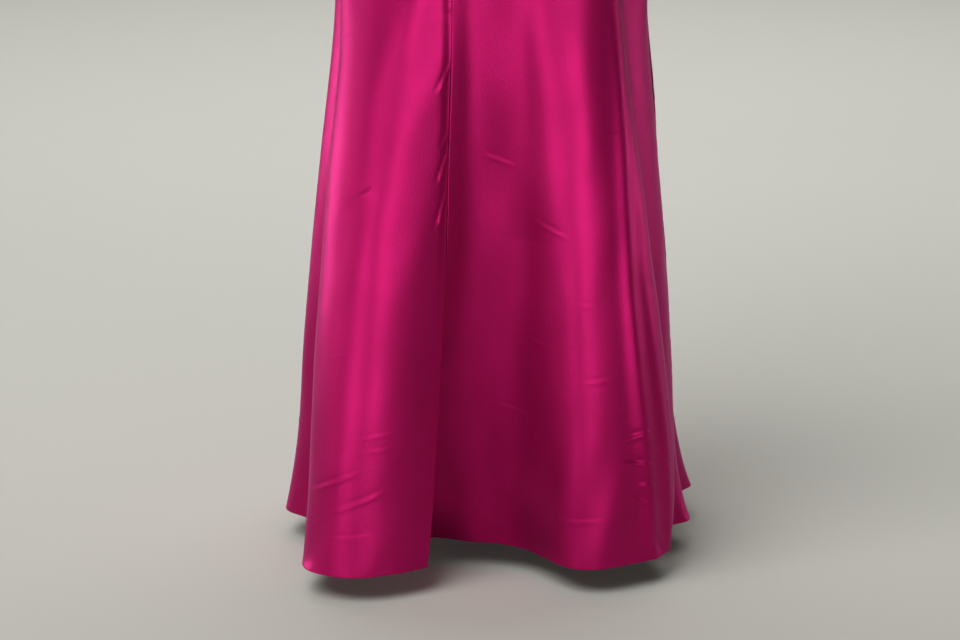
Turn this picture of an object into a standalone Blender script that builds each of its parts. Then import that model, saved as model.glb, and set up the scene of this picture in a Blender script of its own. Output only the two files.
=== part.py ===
"""A floor-length evening gown of heavy satin, held in the shape it has when it is worn.

Metres, +Z up. The origin is the middle of the shoulder line, where the straps hang the gown. The
wearer faces -Y, and +X is the wearer's left. Every cloth panel is a wall of even thickness,
made from rows of points: the rows run down the panel and the columns run round the figure.
"""

import math

import bmesh
import bpy
import numpy as np

# ---------------------------------------------------------------- driving dimensions

WALL = 0.0015  # cloth, with its turned edges
HALF_GAP = 0.00016  # each side of a seam
LAYER_GAP = 0.0006  # between cloth that lies on cloth, both made of flat faces

WAIST_Z = -0.380
HIP_Z = -0.580
HEM_Z = -1.512
SLIT_TOP_Z = -1.085
ZIP_END_Z = -0.575

# The figure and the mean line of the flared skirt: half width, and depth before and behind the axis.
SECTIONS = (
    # name, z, half_width, front, back
    ("shoulder blade", -0.140, 0.141, 0.088, 0.103),
    ("bust", -0.245, 0.144, 0.095, 0.101),
    ("under bust", -0.312, 0.132, 0.093, 0.093),
    ("waist", WAIST_Z, 0.126, 0.092, 0.088),
    ("high hip", -0.470, 0.154, 0.106, 0.110),
    ("hip", HIP_Z, 0.174, 0.119, 0.132),
    ("thigh", -0.700, 0.184, 0.131, 0.147),
    ("over knee", -0.860, 0.189, 0.144, 0.164),
    ("knee", -1.060, 0.208, 0.157, 0.187),
    ("calf", -1.300, 0.228, 0.172, 0.212),
    ("hem", HEM_Z, 0.237, 0.185, 0.235),
)

# The hem seen from above, from the edge under the slit, round by the left side and the back, to the
# edge over the slit. hip_angle says where each fold starts at the hip, in degrees from the front.
# kick is how far the last stretch above the hem flicks out.
HEM_TURNS = (
    # name, x, y, hip_angle, kick
    ("slit under edge", -0.098, -0.093, -15.0, 0.000),
    ("slit hollow", -0.054, -0.102, -8.5, 0.000),
    ("front hollow", -0.004, -0.119, 1.0, 0.000),
    ("front flute foot", 0.045, -0.141, 10.0, 0.000),
    ("front flute rise", 0.069, -0.181, 18.5, 0.000),
    ("front flute crest", 0.103, -0.212, 31.0, 0.000),
    ("front flute face", 0.148, -0.2045, 35.0, -0.001),
    ("front flute turn", 0.187, -0.176, 39.0, -0.008),
    ("front flute side", 0.216, -0.100, 44.0, -0.020),
    ("side hollow", 0.203, -0.070, 50.0, -0.014),
    ("side flute", 0.248, -0.038, 67.0, 0.026),
    ("left side seam", 0.235, 0.018, 84.0, 0.002),
    ("side back hollow", 0.229, 0.048, 92.0, 0.002),
    ("side back flute", 0.262, 0.106, 104.0, 0.030),
    ("left back hollow", 0.205, 0.152, 118.0, 0.008),
    ("left back flute", 0.206, 0.230, 131.0, 0.012),
    ("left centre hollow", 0.130, 0.206, 146.0, 0.004),
    ("left centre flute", 0.084, 0.276, 160.0, 0.010),
    ("left of centre", 0.036, 0.243, 171.0, 0.004),
    ("centre back", 0.000, 0.237, 180.0, 0.004),
    ("right centre hollow", -0.040, 0.246, 190.0, 0.004),
    ("right centre flute", -0.106, 0.274, 204.0, 0.010),
    ("right back hollow", -0.146, 0.200, 218.0, 0.004),
    ("right back flute", -0.226, 0.194, 233.0, 0.012),
    ("right side hollow", -0.210, 0.118, 247.0, 0.004),
    ("right side seam", -0.252, 0.056, 260.0, 0.012),
    ("right side flute", -0.264, 0.006, 270.0, 0.012),
    ("right front hollow", -0.211, -0.050, 281.0, 0.000),
    ("right flute side", -0.217, -0.120, 284.5, 0.004),
    ("right flute turn", -0.228, -0.205, 288.0, 0.006),
    ("right flute crest", -0.190, -0.238, 305.0, 0.000),
    ("right flute face", -0.134, -0.234, 324.0, 0.000),
    ("slit over edge", -0.079, -0.205, 345.0, 0.000),
)
# The turns beside the slit, as they would be if its seam were sewn down to the hem.
CLOSED_TURNS = (
    # name, x, y
    ("slit under edge", -0.062, -0.163),
    ("slit hollow", -0.036, -0.130),
    ("slit over edge", -0.062, -0.163),
)
PARTING_POWER = 1.5  # the slit's edges part slowly at its top
FOLD_START = 0.055  # above the hip
FOLD_POWER = 1.12  # folds deepen from the hip to the hem along nearly straight lines
KICK_HEIGHT = 0.17

# The bodice's top edge, from the front to the centre back.
TOP_EDGE = (
    # angle, z
    (0.0, -0.220),
    (18.0, -0.196),
    (34.0, -0.173),
    (46.0, -0.170),
    (66.0, -0.193),
    (92.0, -0.217),
    (135.0, -0.239),
    (180.0, -0.252),
)

# The cups that the front's darts shape.
CUP_X = 0.083
CUP_Z = -0.247
CUP_DEPTH = 0.031
CUP_WIDTH = 0.052
CUP_ABOVE = 0.088
CUP_BELOW = 0.050
CUP_FADE = 1.6  # how fast the cups' depth fades out at the side seams

# A strap from the front edge over the shoulder to the back edge, on the wearer's left.
STRAP_WIDTH = 0.012
STRAP_TUCK = 0.014  # how far each end is sewn down inside the bodice
STRAP_ROWS = 25
STRAP_FRONT_ANGLE = 41.0
STRAP_BACK_ANGLE = 141.0
STRAP_PATH = (
    # name, x, y, z
    ("chest", 0.095, -0.080, -0.118),
    ("collar bone", 0.097, -0.060, -0.050),
    ("shoulder front", 0.099, -0.030, -0.010),
    ("shoulder", 0.100, 0.002, 0.0015),
    ("shoulder back", 0.098, 0.036, -0.012),
    ("shoulder blade", 0.094, 0.068, -0.055),
    ("upper back", 0.088, 0.088, -0.130),
)

# The closed zip in the centre back seam. Its slider is drawn up to the top.
TAPE_WIDTH = 0.012
TAPE_THICK = 0.0010
TAPE_TOP_DROP = 0.0006  # the tapes' ends below the top edge
TAPE_WAIST_STEP = 0.004  # a row this far above and below the waist seam
TAPE_COLUMNS = 4
TAPE_BODICE_ROWS = 7
SLIDER_DROP = 0.0095  # the slider's middle below the top edge
LIP_HEIGHT = 0.0085
LIP_STEPS = (0.95, 0.7, -0.7, -0.95)  # rows where the lips start and end parting, in LIP_HEIGHTs
LIP_OPEN = 0.0011  # half the gap that the seam's lips leave round the slider's neck
SLIDER_LENGTH = 0.0090
SLIDER_WIDTH = 0.0060
SLIDER_PLATE = 0.0010
SLIDER_GAP = 0.0004  # between the slider and the cloth or the tape
NECK_WIDTH = 0.0012
BODY_THICK = 0.0024
BODY_TOP_WIDTH = 0.0090
BODY_FOOT_WIDTH = 0.0072
BRIDGE_WIDTH = 0.0018
BRIDGE_LENGTH = 0.0068
BRIDGE_HEIGHT = 0.0027
BRIDGE_THICK = 0.0008
BRIDGE_STEPS = 13
PIVOT_HEIGHT = 0.00095  # the pull's axis above the slider's outer plate
PULL_THICK = 0.0010
PULL_EYE = 0.0042  # from the pull's axis to the far end of its eye
PULL_EYE_WIDTH = 0.0032
PULL_ROWS = 20
PULL_TAB = (
    # name, below_axis, half_width
    ("bar", -0.0005, 0.0026),
    ("eye", 0.0040, 0.0026),
    ("neck", 0.0075, 0.0017),
    ("shoulder", 0.0130, 0.0026),
    ("belly", 0.0190, 0.0035),
    ("round", 0.0222, 0.0027),
    ("tip", 0.0238, 0.0008),
)

# ---------------------------------------------------------------- rows and columns

SKIRT_ROWS = (
    WAIST_Z, -0.402, -0.428, -0.458, -0.494, -0.535, HIP_Z, -0.640, -0.715, -0.800, -0.890,
    -0.985, SLIT_TOP_Z, -1.150, -1.225, -1.300, -1.362, -1.410, -1.450, -1.484, HEM_Z,
)  # fmt: skip
HEM_STEP = 0.0205  # about one column this often along the hem
BODICE_ROWS = 11
BODICE_STEP_DEG = 5.0
NORMAL_STEP_DEG = 0.5  # how far to each side a normal of the bodice is measured

SATIN_COLOUR = (0.50, 0.008, 0.115, 1.0)
SATIN_ROUGHNESS = 0.38
ZIP_TAPE_COLOUR = (0.36, 0.006, 0.09, 1.0)
ZIP_TAPE_ROUGHNESS = 0.8
ZIP_METAL_COLOUR = (0.45, 0.01, 0.12, 1.0)
ZIP_METAL_ROUGHNESS = 0.35
ZIP_METALLIC = 0.6


# ---------------------------------------------------------------- curves


def natural_spline(knots, values):
    """Second derivatives of the smooth curve through values, one column each, with free ends."""
    knots = np.asarray(knots, float)
    values = np.asarray(values, float)
    step = np.diff(knots)
    count = len(knots)
    matrix = np.eye(count)
    right = np.zeros_like(values)
    slope = np.diff(values, axis=0) / step[:, None]
    for i in range(1, count - 1):
        matrix[i, i - 1 : i + 2] = step[i - 1], 2 * (step[i - 1] + step[i]), step[i]
        right[i] = 6 * (slope[i] - slope[i - 1])
    return np.linalg.solve(matrix, right)


def spline_at(knots, values, bend, where):
    """Points of the spline at the parameters in where."""
    knots = np.asarray(knots, float)
    values = np.asarray(values, float)
    where = np.atleast_1d(np.asarray(where, float))
    i = np.clip(np.searchsorted(knots, where, "right") - 1, 0, len(knots) - 2)
    step = knots[i + 1] - knots[i]
    b = ((where - knots[i]) / step)[:, None]
    a = 1 - b
    curve = a * values[i] + b * values[i + 1]
    return curve + ((a**3 - a) * bend[i] + (b**3 - b) * bend[i + 1]) * (step**2)[:, None] / 6


def steady_slopes(knots, values):
    """Slopes for a curve through values that never overshoots them."""
    step = np.diff(knots)
    slope = np.diff(values) / step
    out = np.concatenate([[slope[0]], np.zeros(len(knots) - 2), [slope[-1]]])
    for i in range(1, len(knots) - 1):
        if slope[i - 1] * slope[i] > 0:
            before = 2 * step[i] + step[i - 1]
            after = step[i] + 2 * step[i - 1]
            out[i] = (before + after) / (before / slope[i - 1] + after / slope[i])
    return out


def steady_curve(knots, values, where):
    """The curve that steady_slopes describes, at the parameters in where."""
    knots = np.asarray(knots, float)
    values = np.asarray(values, float)
    slopes = steady_slopes(knots, values)
    where = np.clip(np.asarray(where, float), knots[0], knots[-1])
    i = np.clip(np.searchsorted(knots, where, "right") - 1, 0, len(knots) - 2)
    step = knots[i + 1] - knots[i]
    b = (where - knots[i]) / step
    return (
        (1 + 2 * b) * (1 - b) ** 2 * values[i]
        + b * (1 - b) ** 2 * step * slopes[i]
        + b * b * (3 - 2 * b) * values[i + 1]
        + b * b * (b - 1) * step * slopes[i + 1]
    )


def ease(value):
    """0 below 0, 1 above 1, and a smooth step between."""
    value = np.clip(value, 0.0, 1.0)
    return value * value * (3 - 2 * value)


# ---------------------------------------------------------------- the figure


def section(z):
    """Half width, front depth and back depth of the figure or the mean skirt at height z."""
    height = [-row[1] for row in SECTIONS]
    return [steady_curve(height, [row[k] for row in SECTIONS], -np.asarray(z, float)) for k in (2, 3, 4)]


def oval(angle, size):
    """The point of the section at an angle in degrees from the front, towards the wearer's left."""
    half_width, front, back = size
    turn = np.radians(angle)
    depth = front + (back - front) * (1 - np.cos(turn)) / 2
    return np.stack([half_width * np.sin(turn), -depth * np.cos(turn)], axis=-1)


# ---------------------------------------------------------------- the skirt


def hem_table():
    """The hem's knots, measured along its turns, and its rows of x, y, hip angle and kick."""
    rows = np.array([row[1:] for row in HEM_TURNS], float)
    away = np.linalg.norm(np.diff(rows[:, :2], axis=0), axis=1)
    return np.concatenate([[0.0], np.cumsum(away)]), rows


def closed_table(knots, rows):
    """The same as if the slit were sewn shut. It runs on past both ends, so it joins smoothly."""
    rows = rows.copy()
    names = [row[0] for row in HEM_TURNS]
    for name, x, y in CLOSED_TURNS:
        rows[names.index(name), :2] = x, y
    turn = np.array([0.0, 0.0, 360.0, 0.0])
    before, after = slice(-5, -1), slice(1, 5)
    return (
        np.concatenate([knots[before] - knots[-1], knots, knots[after] + knots[-1]]),
        np.concatenate([rows[before] - turn, rows, rows[after] + turn]),
    )


HEM_KNOTS, HEM_ROWS = hem_table()
HEM_BEND = natural_spline(HEM_KNOTS, HEM_ROWS)
HEM_LENGTH = float(HEM_KNOTS[-1])
CLOSED_KNOTS, CLOSED_ROWS = closed_table(HEM_KNOTS, HEM_ROWS)
CLOSED_BEND = natural_spline(CLOSED_KNOTS, CLOSED_ROWS)


def hem_knot(name):
    """Where a named turn lies along the hem."""
    return float(HEM_KNOTS[[row[0] for row in HEM_TURNS].index(name)])


def fold_weight(z):
    """0 at the hip and above, where the cloth lies on the figure, to 1 at the hem."""
    start = HIP_Z + FOLD_START
    fall = np.clip((start - np.asarray(z, float)) / (start - HEM_Z), 0.0, 1.0)
    return fall**FOLD_POWER


def hung(turns, z):
    """The plan at height z of cloth whose hem has these rows of x, y, hip angle and kick."""
    weight = fold_weight(z)
    plan = oval(turns[:, 2], section(z)) + weight * (turns[:, :2] - oval(turns[:, 2], section(HEM_Z)))
    reach = np.linalg.norm(turns[:, :2], axis=1)[:, None]
    flick = np.clip((HEM_Z + KICK_HEIGHT - z) / KICK_HEIGHT, 0.0, 1.0) ** 2 - 1.0
    return plan + turns[:, :2] / reach * turns[:, 3:4] * flick * weight


def skirt_plan(along, z):
    """The skirt's plan at height z. Its two front edges meet above the slit and part below."""
    along = np.atleast_1d(np.asarray(along, float))
    below_top = float(np.clip((SLIT_TOP_Z - z) / (SLIT_TOP_Z - HEM_Z), 0.0, 1.0))
    opened = below_top**PARTING_POWER
    closed = hung(spline_at(CLOSED_KNOTS, CLOSED_ROWS, CLOSED_BEND, along), z)
    if opened == 0.0:
        return closed
    return (1 - opened) * closed + opened * hung(spline_at(HEM_KNOTS, HEM_ROWS, HEM_BEND, along), z)


# ---------------------------------------------------------------- the bodice


def top_edge(angle):
    """Height of the bodice's top edge at an angle from the front."""
    turn = np.abs((np.asarray(angle, float) + 180.0) % 360.0 - 180.0)
    return steady_curve([row[0] for row in TOP_EDGE], [row[1] for row in TOP_EDGE], turn)


def bodice_plan(angle, z):
    """The bodice's plan: the figure's section, with the two cups standing out at the front."""
    angle = np.asarray(angle, float)
    z = np.asarray(z, float)
    plan = oval(angle, section(z))
    spread = np.where(z > CUP_Z, CUP_ABOVE, CUP_BELOW)
    height = np.exp(-(((z - CUP_Z) / spread) ** 2))
    side = np.exp(-(((np.abs(plan[..., 0]) - CUP_X) / CUP_WIDTH) ** 2))
    front = ease(np.cos(np.radians(angle)) * CUP_FADE)
    plan[..., 1] -= CUP_DEPTH * height * side * front
    return plan


# ---------------------------------------------------------------- panels


def outward(plan):
    """Level unit normals of rows of plan points, pointing out of the garment."""
    along = np.gradient(plan, axis=1)
    normal = np.stack([along[..., 1], -along[..., 0]], axis=-1)
    return normal / np.linalg.norm(normal, axis=-1, keepdims=True)


def drawn_back(points, first, last):
    """Moves a panel's first and last columns in from their seams by these distances, level."""
    points = points.copy()
    for end, inner, much in ((0, 1, first), (-1, -2, last)):
        way = points[:, inner, :2] - points[:, end, :2]
        way /= np.linalg.norm(way, axis=1, keepdims=True)
        points[:, end, :2] += way * np.reshape(much, (-1, 1))
    return points


def skirt_panel(start, end):
    """Outer points and normals of a skirt panel between two places along the hem."""
    columns = max(4, round((end - start) / HEM_STEP)) + 1
    along = np.linspace(start, end, columns)
    # One column more at each end, where the cloth goes on, so that both sides of a seam agree.
    step = along[1] - along[0]
    more = np.concatenate([[start - step], along, [end + step]])
    rows = []
    for z in SKIRT_ROWS:
        plan = skirt_plan(more, z)
        if z < SLIT_TOP_Z and start <= 0.0:
            plan[0] = 2 * plan[1] - plan[2]
        if z < SLIT_TOP_Z and end >= HEM_LENGTH:
            plan[-1] = 2 * plan[-2] - plan[-3]
        rows.append(plan)
    plan = np.array(rows)
    normal = outward(plan)[:, 1:-1]
    plan = plan[:, 1:-1]
    height = np.array(SKIRT_ROWS, float)
    height[0] -= HALF_GAP
    level = np.broadcast_to(height[:, None, None], (*plan.shape[:2], 1))
    return np.concatenate([plan, level], axis=2), normal


def bodice_panel(start, end, row_shares):
    """Outer points and normals of a bodice panel between two angles. row_shares go from top to waist."""
    columns = round((end - start) / BODICE_STEP_DEG) + 1
    angle = np.linspace(start, end, columns)
    step = angle[1] - angle[0]
    more = np.concatenate([[start - step], angle, [end + step]])
    top = top_edge(more)
    height = top[None] + row_shares[:, None] * (WAIST_Z + HALF_GAP - top[None])
    plan = bodice_plan(np.broadcast_to(more, height.shape), height)
    # Normals are taken along level cuts, because the rows themselves slope.
    before = bodice_plan(np.broadcast_to(more - NORMAL_STEP_DEG, height.shape), height)
    after = bodice_plan(np.broadcast_to(more + NORMAL_STEP_DEG, height.shape), height)
    normal = outward(np.stack([before, plan, after], axis=2).reshape(-1, 3, 2))[:, 1]
    normal = normal.reshape(*height.shape, 2)
    return np.concatenate([plan, height[..., None]], axis=2)[:, 1:-1], normal[:, 1:-1]


def moved_in(points, normal, distance):
    """Points moved level into the garment."""
    inner = points.copy()
    inner[..., :2] -= normal * distance
    return inner


# ---------------------------------------------------------------- solids


def finish(name, colour, roughness, metallic=0.0):
    """A material for one kind of piece."""
    made = bpy.data.materials.new(name)
    made.use_nodes = True
    shader = made.node_tree.nodes["Principled BSDF"]
    shader.inputs["Base Color"].default_value = colour
    shader.inputs["Roughness"].default_value = roughness
    shader.inputs["Metallic"].default_value = metallic
    return made


def object_of(name, mesh, material):
    """Puts a finished bmesh in the scene as a named object."""
    bmesh.ops.recalc_face_normals(mesh, faces=mesh.faces)
    data = bpy.data.meshes.new(name)
    mesh.to_mesh(data)
    mesh.free()
    data.shade_smooth()
    data.set_sharp_from_angle(angle=math.radians(40))
    data.materials.append(material)
    made = bpy.data.objects.new(name, data)
    bpy.context.scene.collection.objects.link(made)
    return made


def cloth_wall(name, outer, inner, material):
    """A closed wall between two grids of points with the same rows and columns."""
    rows, columns = outer.shape[:2]
    mesh = bmesh.new()
    sides = [
        [[mesh.verts.new(point) for point in row] for row in grid] for grid in (outer, inner)
    ]
    for j in range(rows - 1):
        for i in range(columns - 1):
            corners = ((j, i), (j + 1, i), (j + 1, i + 1), (j, i + 1))
            mesh.faces.new([sides[0][a][b] for a, b in corners])
            mesh.faces.new([sides[1][a][b] for a, b in reversed(corners)])
    rim = [(0, i) for i in range(columns)]
    rim += [(j, columns - 1) for j in range(1, rows)]
    rim += [(rows - 1, i) for i in range(columns - 2, -1, -1)]
    rim += [(j, 0) for j in range(rows - 2, 0, -1)]
    for (a, b), (c, d) in zip(rim, rim[1:] + rim[:1]):
        mesh.faces.new([sides[0][a][b], sides[0][c][d], sides[1][c][d], sides[1][a][b]])
    return object_of(name, mesh, material)


def make_skirt(material):
    """The four skirt panels. The slit runs up the front, on the wearer's right of the middle."""
    seams = [0.0] + [hem_knot(n) for n in ("left side seam", "centre back", "right side seam")]
    seams.append(HEM_LENGTH)
    names = ("skirt_front_left", "skirt_back_left", "skirt_back_right", "skirt_front_right")
    for name, start, end in zip(names, seams, seams[1:]):
        outer, normal = skirt_panel(start, end)
        inner = moved_in(outer, normal, WALL)
        cloth_wall(
            name,
            drawn_back(outer, HALF_GAP, HALF_GAP),
            drawn_back(inner, HALF_GAP, HALF_GAP),
            material,
        )


def slider_z():
    """Height of the middle of the zip's slider."""
    return float(top_edge(180.0)) - SLIDER_DROP


def lip_opening(height):
    """How far an edge beside the zip draws back from the seam, to let the slider's neck through."""
    away = np.abs(height - slider_z()) / LIP_HEIGHT
    return HALF_GAP + (LIP_OPEN - HALF_GAP) * (away < np.mean(LIP_STEPS[:2]))


def back_row_shares():
    """Shares from top edge to waist for the back panels' rows, with close rows by the slider."""
    long = float(top_edge(180.0)) - WAIST_Z
    near = [(SLIDER_DROP - LIP_HEIGHT * step) / long for step in LIP_STEPS]
    rest = np.linspace(2 * near[-1] - near[-2], 1.0, BODICE_ROWS - 3)
    return np.concatenate([[0.0], near, rest])


def make_bodice(material):
    """The front, cut in one and shaped by darts, and the two backs on either side of the zip."""
    outer, normal = bodice_panel(-90.0, 90.0, np.linspace(0.0, 1.0, BODICE_ROWS))
    inner = moved_in(outer, normal, WALL)
    cloth_wall(
        "bodice_front",
        drawn_back(outer, HALF_GAP, HALF_GAP),
        drawn_back(inner, HALF_GAP, HALF_GAP),
        material,
    )
    shares = back_row_shares()
    for name, start, end in (("left", 90.0, 180.0), ("right", 180.0, 270.0)):
        outer, normal = bodice_panel(start, end, shares)
        inner = moved_in(outer, normal, WALL)
        seam = 0 if name == "right" else -1
        lips = lip_opening(outer[:, seam, 2])
        first, last = (HALF_GAP, lips) if name == "left" else (lips, HALF_GAP)
        cloth_wall(
            f"bodice_back_{name}",
            drawn_back(outer, first, last),
            drawn_back(inner, first, last),
            material,
        )


# ---------------------------------------------------------------- straps


def tucked_end(angle, depth):
    """A point of a strap's outer face, lying on the bodice's inside, and the way along the cloth."""
    edge = float(top_edge(angle))
    plan = bodice_plan([angle - NORMAL_STEP_DEG, angle, angle + NORMAL_STEP_DEG], [edge - depth] * 3)
    normal = outward(plan[None])[0, 1]
    across = np.array([-normal[1], normal[0], 0.0])
    point = np.append(plan[1] - normal * (WALL + LAYER_GAP), edge - depth)
    return point, across


def strap_points():
    """Middle points of the left strap's outer face, and the way across it at each."""
    front = [tucked_end(STRAP_FRONT_ANGLE, depth) for depth in (STRAP_TUCK, STRAP_TUCK / 2, 0.0)]
    back = [tucked_end(STRAP_BACK_ANGLE, depth) for depth in (0.0, STRAP_TUCK / 2, STRAP_TUCK)]
    free = [np.array(row[1:]) for row in STRAP_PATH]
    points = np.array([p for p, _ in front] + free + [p for p, _ in back])
    knots = np.concatenate([[0.0], np.cumsum(np.linalg.norm(np.diff(points, axis=0), axis=1))])
    bend = natural_spline(knots, points)
    free_rows = np.linspace(knots[2], knots[-3], STRAP_ROWS)[1:-1]
    where = np.concatenate([knots[:3], free_rows, knots[-3:]])
    path = spline_at(knots, points, bend, where)
    share = np.clip((where - knots[2]) / (knots[-3] - knots[2]), 0.0, 1.0)[:, None]
    over = np.array([1.0, 0.0, 0.0])
    to_back = ease((share - 0.5) * 2)
    to_front = ease((0.5 - share) * 2)
    across = to_front * front[0][1] + to_back * -back[0][1] + (1 - to_front - to_back) * over
    return path, across / np.linalg.norm(across, axis=1, keepdims=True)


def make_straps(material):
    """Two narrow straps, each sewn down inside the top edge at both ends."""
    path, across = strap_points()
    along = np.gradient(path, axis=0)
    up = np.cross(across, along)
    up /= np.linalg.norm(up, axis=1, keepdims=True)
    up *= np.sign(up[len(up) // 2, 2])
    shares = np.linspace(-0.5, 0.5, 3) * STRAP_WIDTH
    outer = path[:, None] + shares[None, :, None] * across[:, None]
    inner = outer - up[:, None] * WALL
    for name, side in (("strap_left", 1.0), ("strap_right", -1.0)):
        mirror = np.array([side, 1.0, 1.0])
        cloth_wall(name, outer * mirror, inner * mirror, material)


# ---------------------------------------------------------------- zip


def tape_row(z, left_edge, right_edge):
    """Plan points and normals of the outside of the back, over the tape's two edges at height z.

    The edges are distances from the seam, towards the wearer's left.
    """
    away = np.linspace(left_edge, right_edge, TAPE_COLUMNS)
    if z > WAIST_Z:
        plan = bodice_plan(180.0 - np.degrees(away / section(z)[0]), np.full(len(away), z))
    else:
        middle = hem_knot("centre back")
        ends = skirt_plan([middle - TAPE_WIDTH, middle + TAPE_WIDTH], z)
        plan = skirt_plan(middle - away * 2 * TAPE_WIDTH / np.linalg.norm(ends[1] - ends[0]), z)
    return plan, outward(plan[None])[0]


def make_zip_tapes(material):
    """The two tapes of the closed zip, flat on the inside of the back, meeting at the seam."""
    near = [slider_z() + LIP_HEIGHT * step for step in LIP_STEPS]
    above_waist = np.linspace(near[-1], WAIST_Z + TAPE_WAIST_STEP, TAPE_BODICE_ROWS)[1:]
    below_waist = [WAIST_Z - TAPE_WAIST_STEP, *[z for z in SKIRT_ROWS[1:] if z > ZIP_END_Z], ZIP_END_Z]
    top = float(top_edge(180.0)) - TAPE_TOP_DROP
    for name in ("left", "right"):
        outer, inner = [], []
        for z in [top, *near, *above_waist, *below_waist]:
            edge = float(lip_opening(z))
            edges = (TAPE_WIDTH, edge) if name == "left" else (-edge, -TAPE_WIDTH)
            plan, normal = tape_row(z, *edges)
            level = np.full((len(plan), 1), z)
            outer.append(np.hstack([plan - normal * (WALL + LAYER_GAP), level]))
            inner.append(np.hstack([plan - normal * (WALL + LAYER_GAP + TAPE_THICK), level]))
        cloth_wall(f"zip_tape_{name}", np.array(outer), np.array(inner), material)


def prism(name, outline, low, high, axis, material):
    """A closed solid with this outline, between two places along an axis."""
    mesh = bmesh.new()
    ends = [[mesh.verts.new(np.insert(point, axis, place)) for point in outline] for place in (low, high)]
    for end in ends:
        mesh.faces.new(end)
    for i, j in zip(range(len(outline)), [*range(1, len(outline)), 0]):
        mesh.faces.new([ends[0][i], ends[0][j], ends[1][j], ends[1][i]])
    return object_of(name, mesh, material)


def rectangle(x_low, x_high, y_low, y_high):
    """The corners of a rectangle."""
    return [(x_low, y_low), (x_high, y_low), (x_high, y_high), (x_low, y_high)]


def with_tool(body, tool, operation):
    """Joins a tool to a body, or cuts it out."""
    tool.hide_render = True
    tool.display_type = "WIRE"
    tool.parent = body.parent
    step = body.modifiers.new(tool.name, "BOOLEAN")
    step.operation = operation
    step.object = tool


def make_slider(seat, material):
    """The slider: a plate and a bridge outside, and a body inside behind the tapes."""
    half = SLIDER_LENGTH / 2
    plate_low, plate_top = SLIDER_GAP, SLIDER_GAP + SLIDER_PLATE
    outline = rectangle(-SLIDER_WIDTH / 2, SLIDER_WIDTH / 2, -half, half)
    slider = prism("zip_slider", outline, plate_low, plate_top, 1, material)
    slider.parent = seat

    body_face = -(WALL + LAYER_GAP + TAPE_THICK + SLIDER_GAP)
    top, foot = BODY_TOP_WIDTH / 2, BODY_FOOT_WIDTH / 2
    right = [(foot, -half), (top, half * 0.4), (top * 0.7, half)]
    outline = [*right, *[(-x, z) for x, z in right[::-1]]]
    body = prism("slider body", outline, body_face - BODY_THICK, body_face, 1, material)
    outline = rectangle(-NECK_WIDTH / 2, NECK_WIDTH / 2, -half * 0.7, half * 0.7)
    inside, outside = body_face - BODY_THICK / 2, plate_low + SLIDER_PLATE / 2
    neck = prism("slider neck", outline, inside, outside, 1, material)

    turn = np.linspace(0.0, math.pi, BRIDGE_STEPS)
    sunk = plate_top - SLIDER_PLATE / 2
    arch = [(plate_top + BRIDGE_HEIGHT * math.sin(t), BRIDGE_LENGTH / 2 * math.cos(t)) for t in turn]
    arch = [(sunk, BRIDGE_LENGTH / 2), *arch, (sunk, -BRIDGE_LENGTH / 2)]
    inner_length = BRIDGE_LENGTH / 2 - BRIDGE_THICK
    inner_height = BRIDGE_HEIGHT - BRIDGE_THICK
    hole = [(plate_top + inner_height * math.sin(t), inner_length * math.cos(t)) for t in turn]
    bridge = prism("slider bridge", arch + hole[::-1], -BRIDGE_WIDTH / 2, BRIDGE_WIDTH / 2, 0, material)
    for piece in (body, neck, bridge):
        with_tool(slider, piece, "UNION")


def make_pull(seat, lean, material):
    """The pull hangs plumb from the slider's bridge. Its origin is on its hinge."""
    down = [row[1] for row in PULL_TAB]
    half = [row[2] for row in PULL_TAB]
    where = np.linspace(down[0], down[-1], PULL_ROWS)
    width = steady_curve(down, half, where)
    outline = [*zip(width, -where), *zip(-width[::-1], -where[::-1])]
    pull = prism("zip_pull", outline, -PULL_THICK / 2, PULL_THICK / 2, 1, material)
    pull.parent = seat
    pull.location = (0.0, SLIDER_GAP + SLIDER_PLATE + PIVOT_HEIGHT, 0.0)
    pull.rotation_euler = (lean, 0.0, 0.0)
    outline = rectangle(-PULL_EYE_WIDTH / 2, PULL_EYE_WIDTH / 2, -PULL_EYE, -PULL_THICK / 2)
    eye = prism("pull eye", outline, -PULL_THICK, PULL_THICK, 1, material)
    with_tool(pull, eye, "DIFFERENCE")
    eye.location = pull.location
    eye.rotation_euler = pull.rotation_euler


def make_zip(tape_material, metal):
    """The zip: its tapes, and the slider and pull on a seat that leans as the back does."""
    make_zip_tapes(tape_material)
    z = slider_z()
    step = SLIDER_LENGTH / 2
    low, middle, high = (float(bodice_plan(180.0, z + k * step)[1]) for k in (-1, 0, 1))
    lean = math.atan2(high - low, 2 * step)
    seat = bpy.data.objects.new("slider seat", None)
    bpy.context.scene.collection.objects.link(seat)
    seat.location = (0.0, max(middle, (low + high) / 2), z)
    seat.rotation_euler = (-lean, 0.0, 0.0)
    make_slider(seat, metal)
    make_pull(seat, lean, metal)


def main():
    """Builds every piece of the gown."""
    for old in list(bpy.data.objects):
        bpy.data.objects.remove(old, do_unlink=True)
    cloth = finish("satin", SATIN_COLOUR, SATIN_ROUGHNESS)
    make_bodice(cloth)
    make_straps(cloth)
    make_skirt(cloth)
    tape = finish("zip tape", ZIP_TAPE_COLOUR, ZIP_TAPE_ROUGHNESS)
    make_zip(tape, finish("zip metal", ZIP_METAL_COLOUR, ZIP_METAL_ROUGHNESS, ZIP_METALLIC))


if __name__ == "__main__":
    main()
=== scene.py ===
"""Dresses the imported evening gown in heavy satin, with its seams, hems, creases, straps and zip.

Metres, +Z up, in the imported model's frame: the origin is the middle of the shoulder line, the
wearer faces -Y, and +X is the wearer's left.
"""

import logging
import math
from dataclasses import dataclass, field
from enum import Enum

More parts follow.
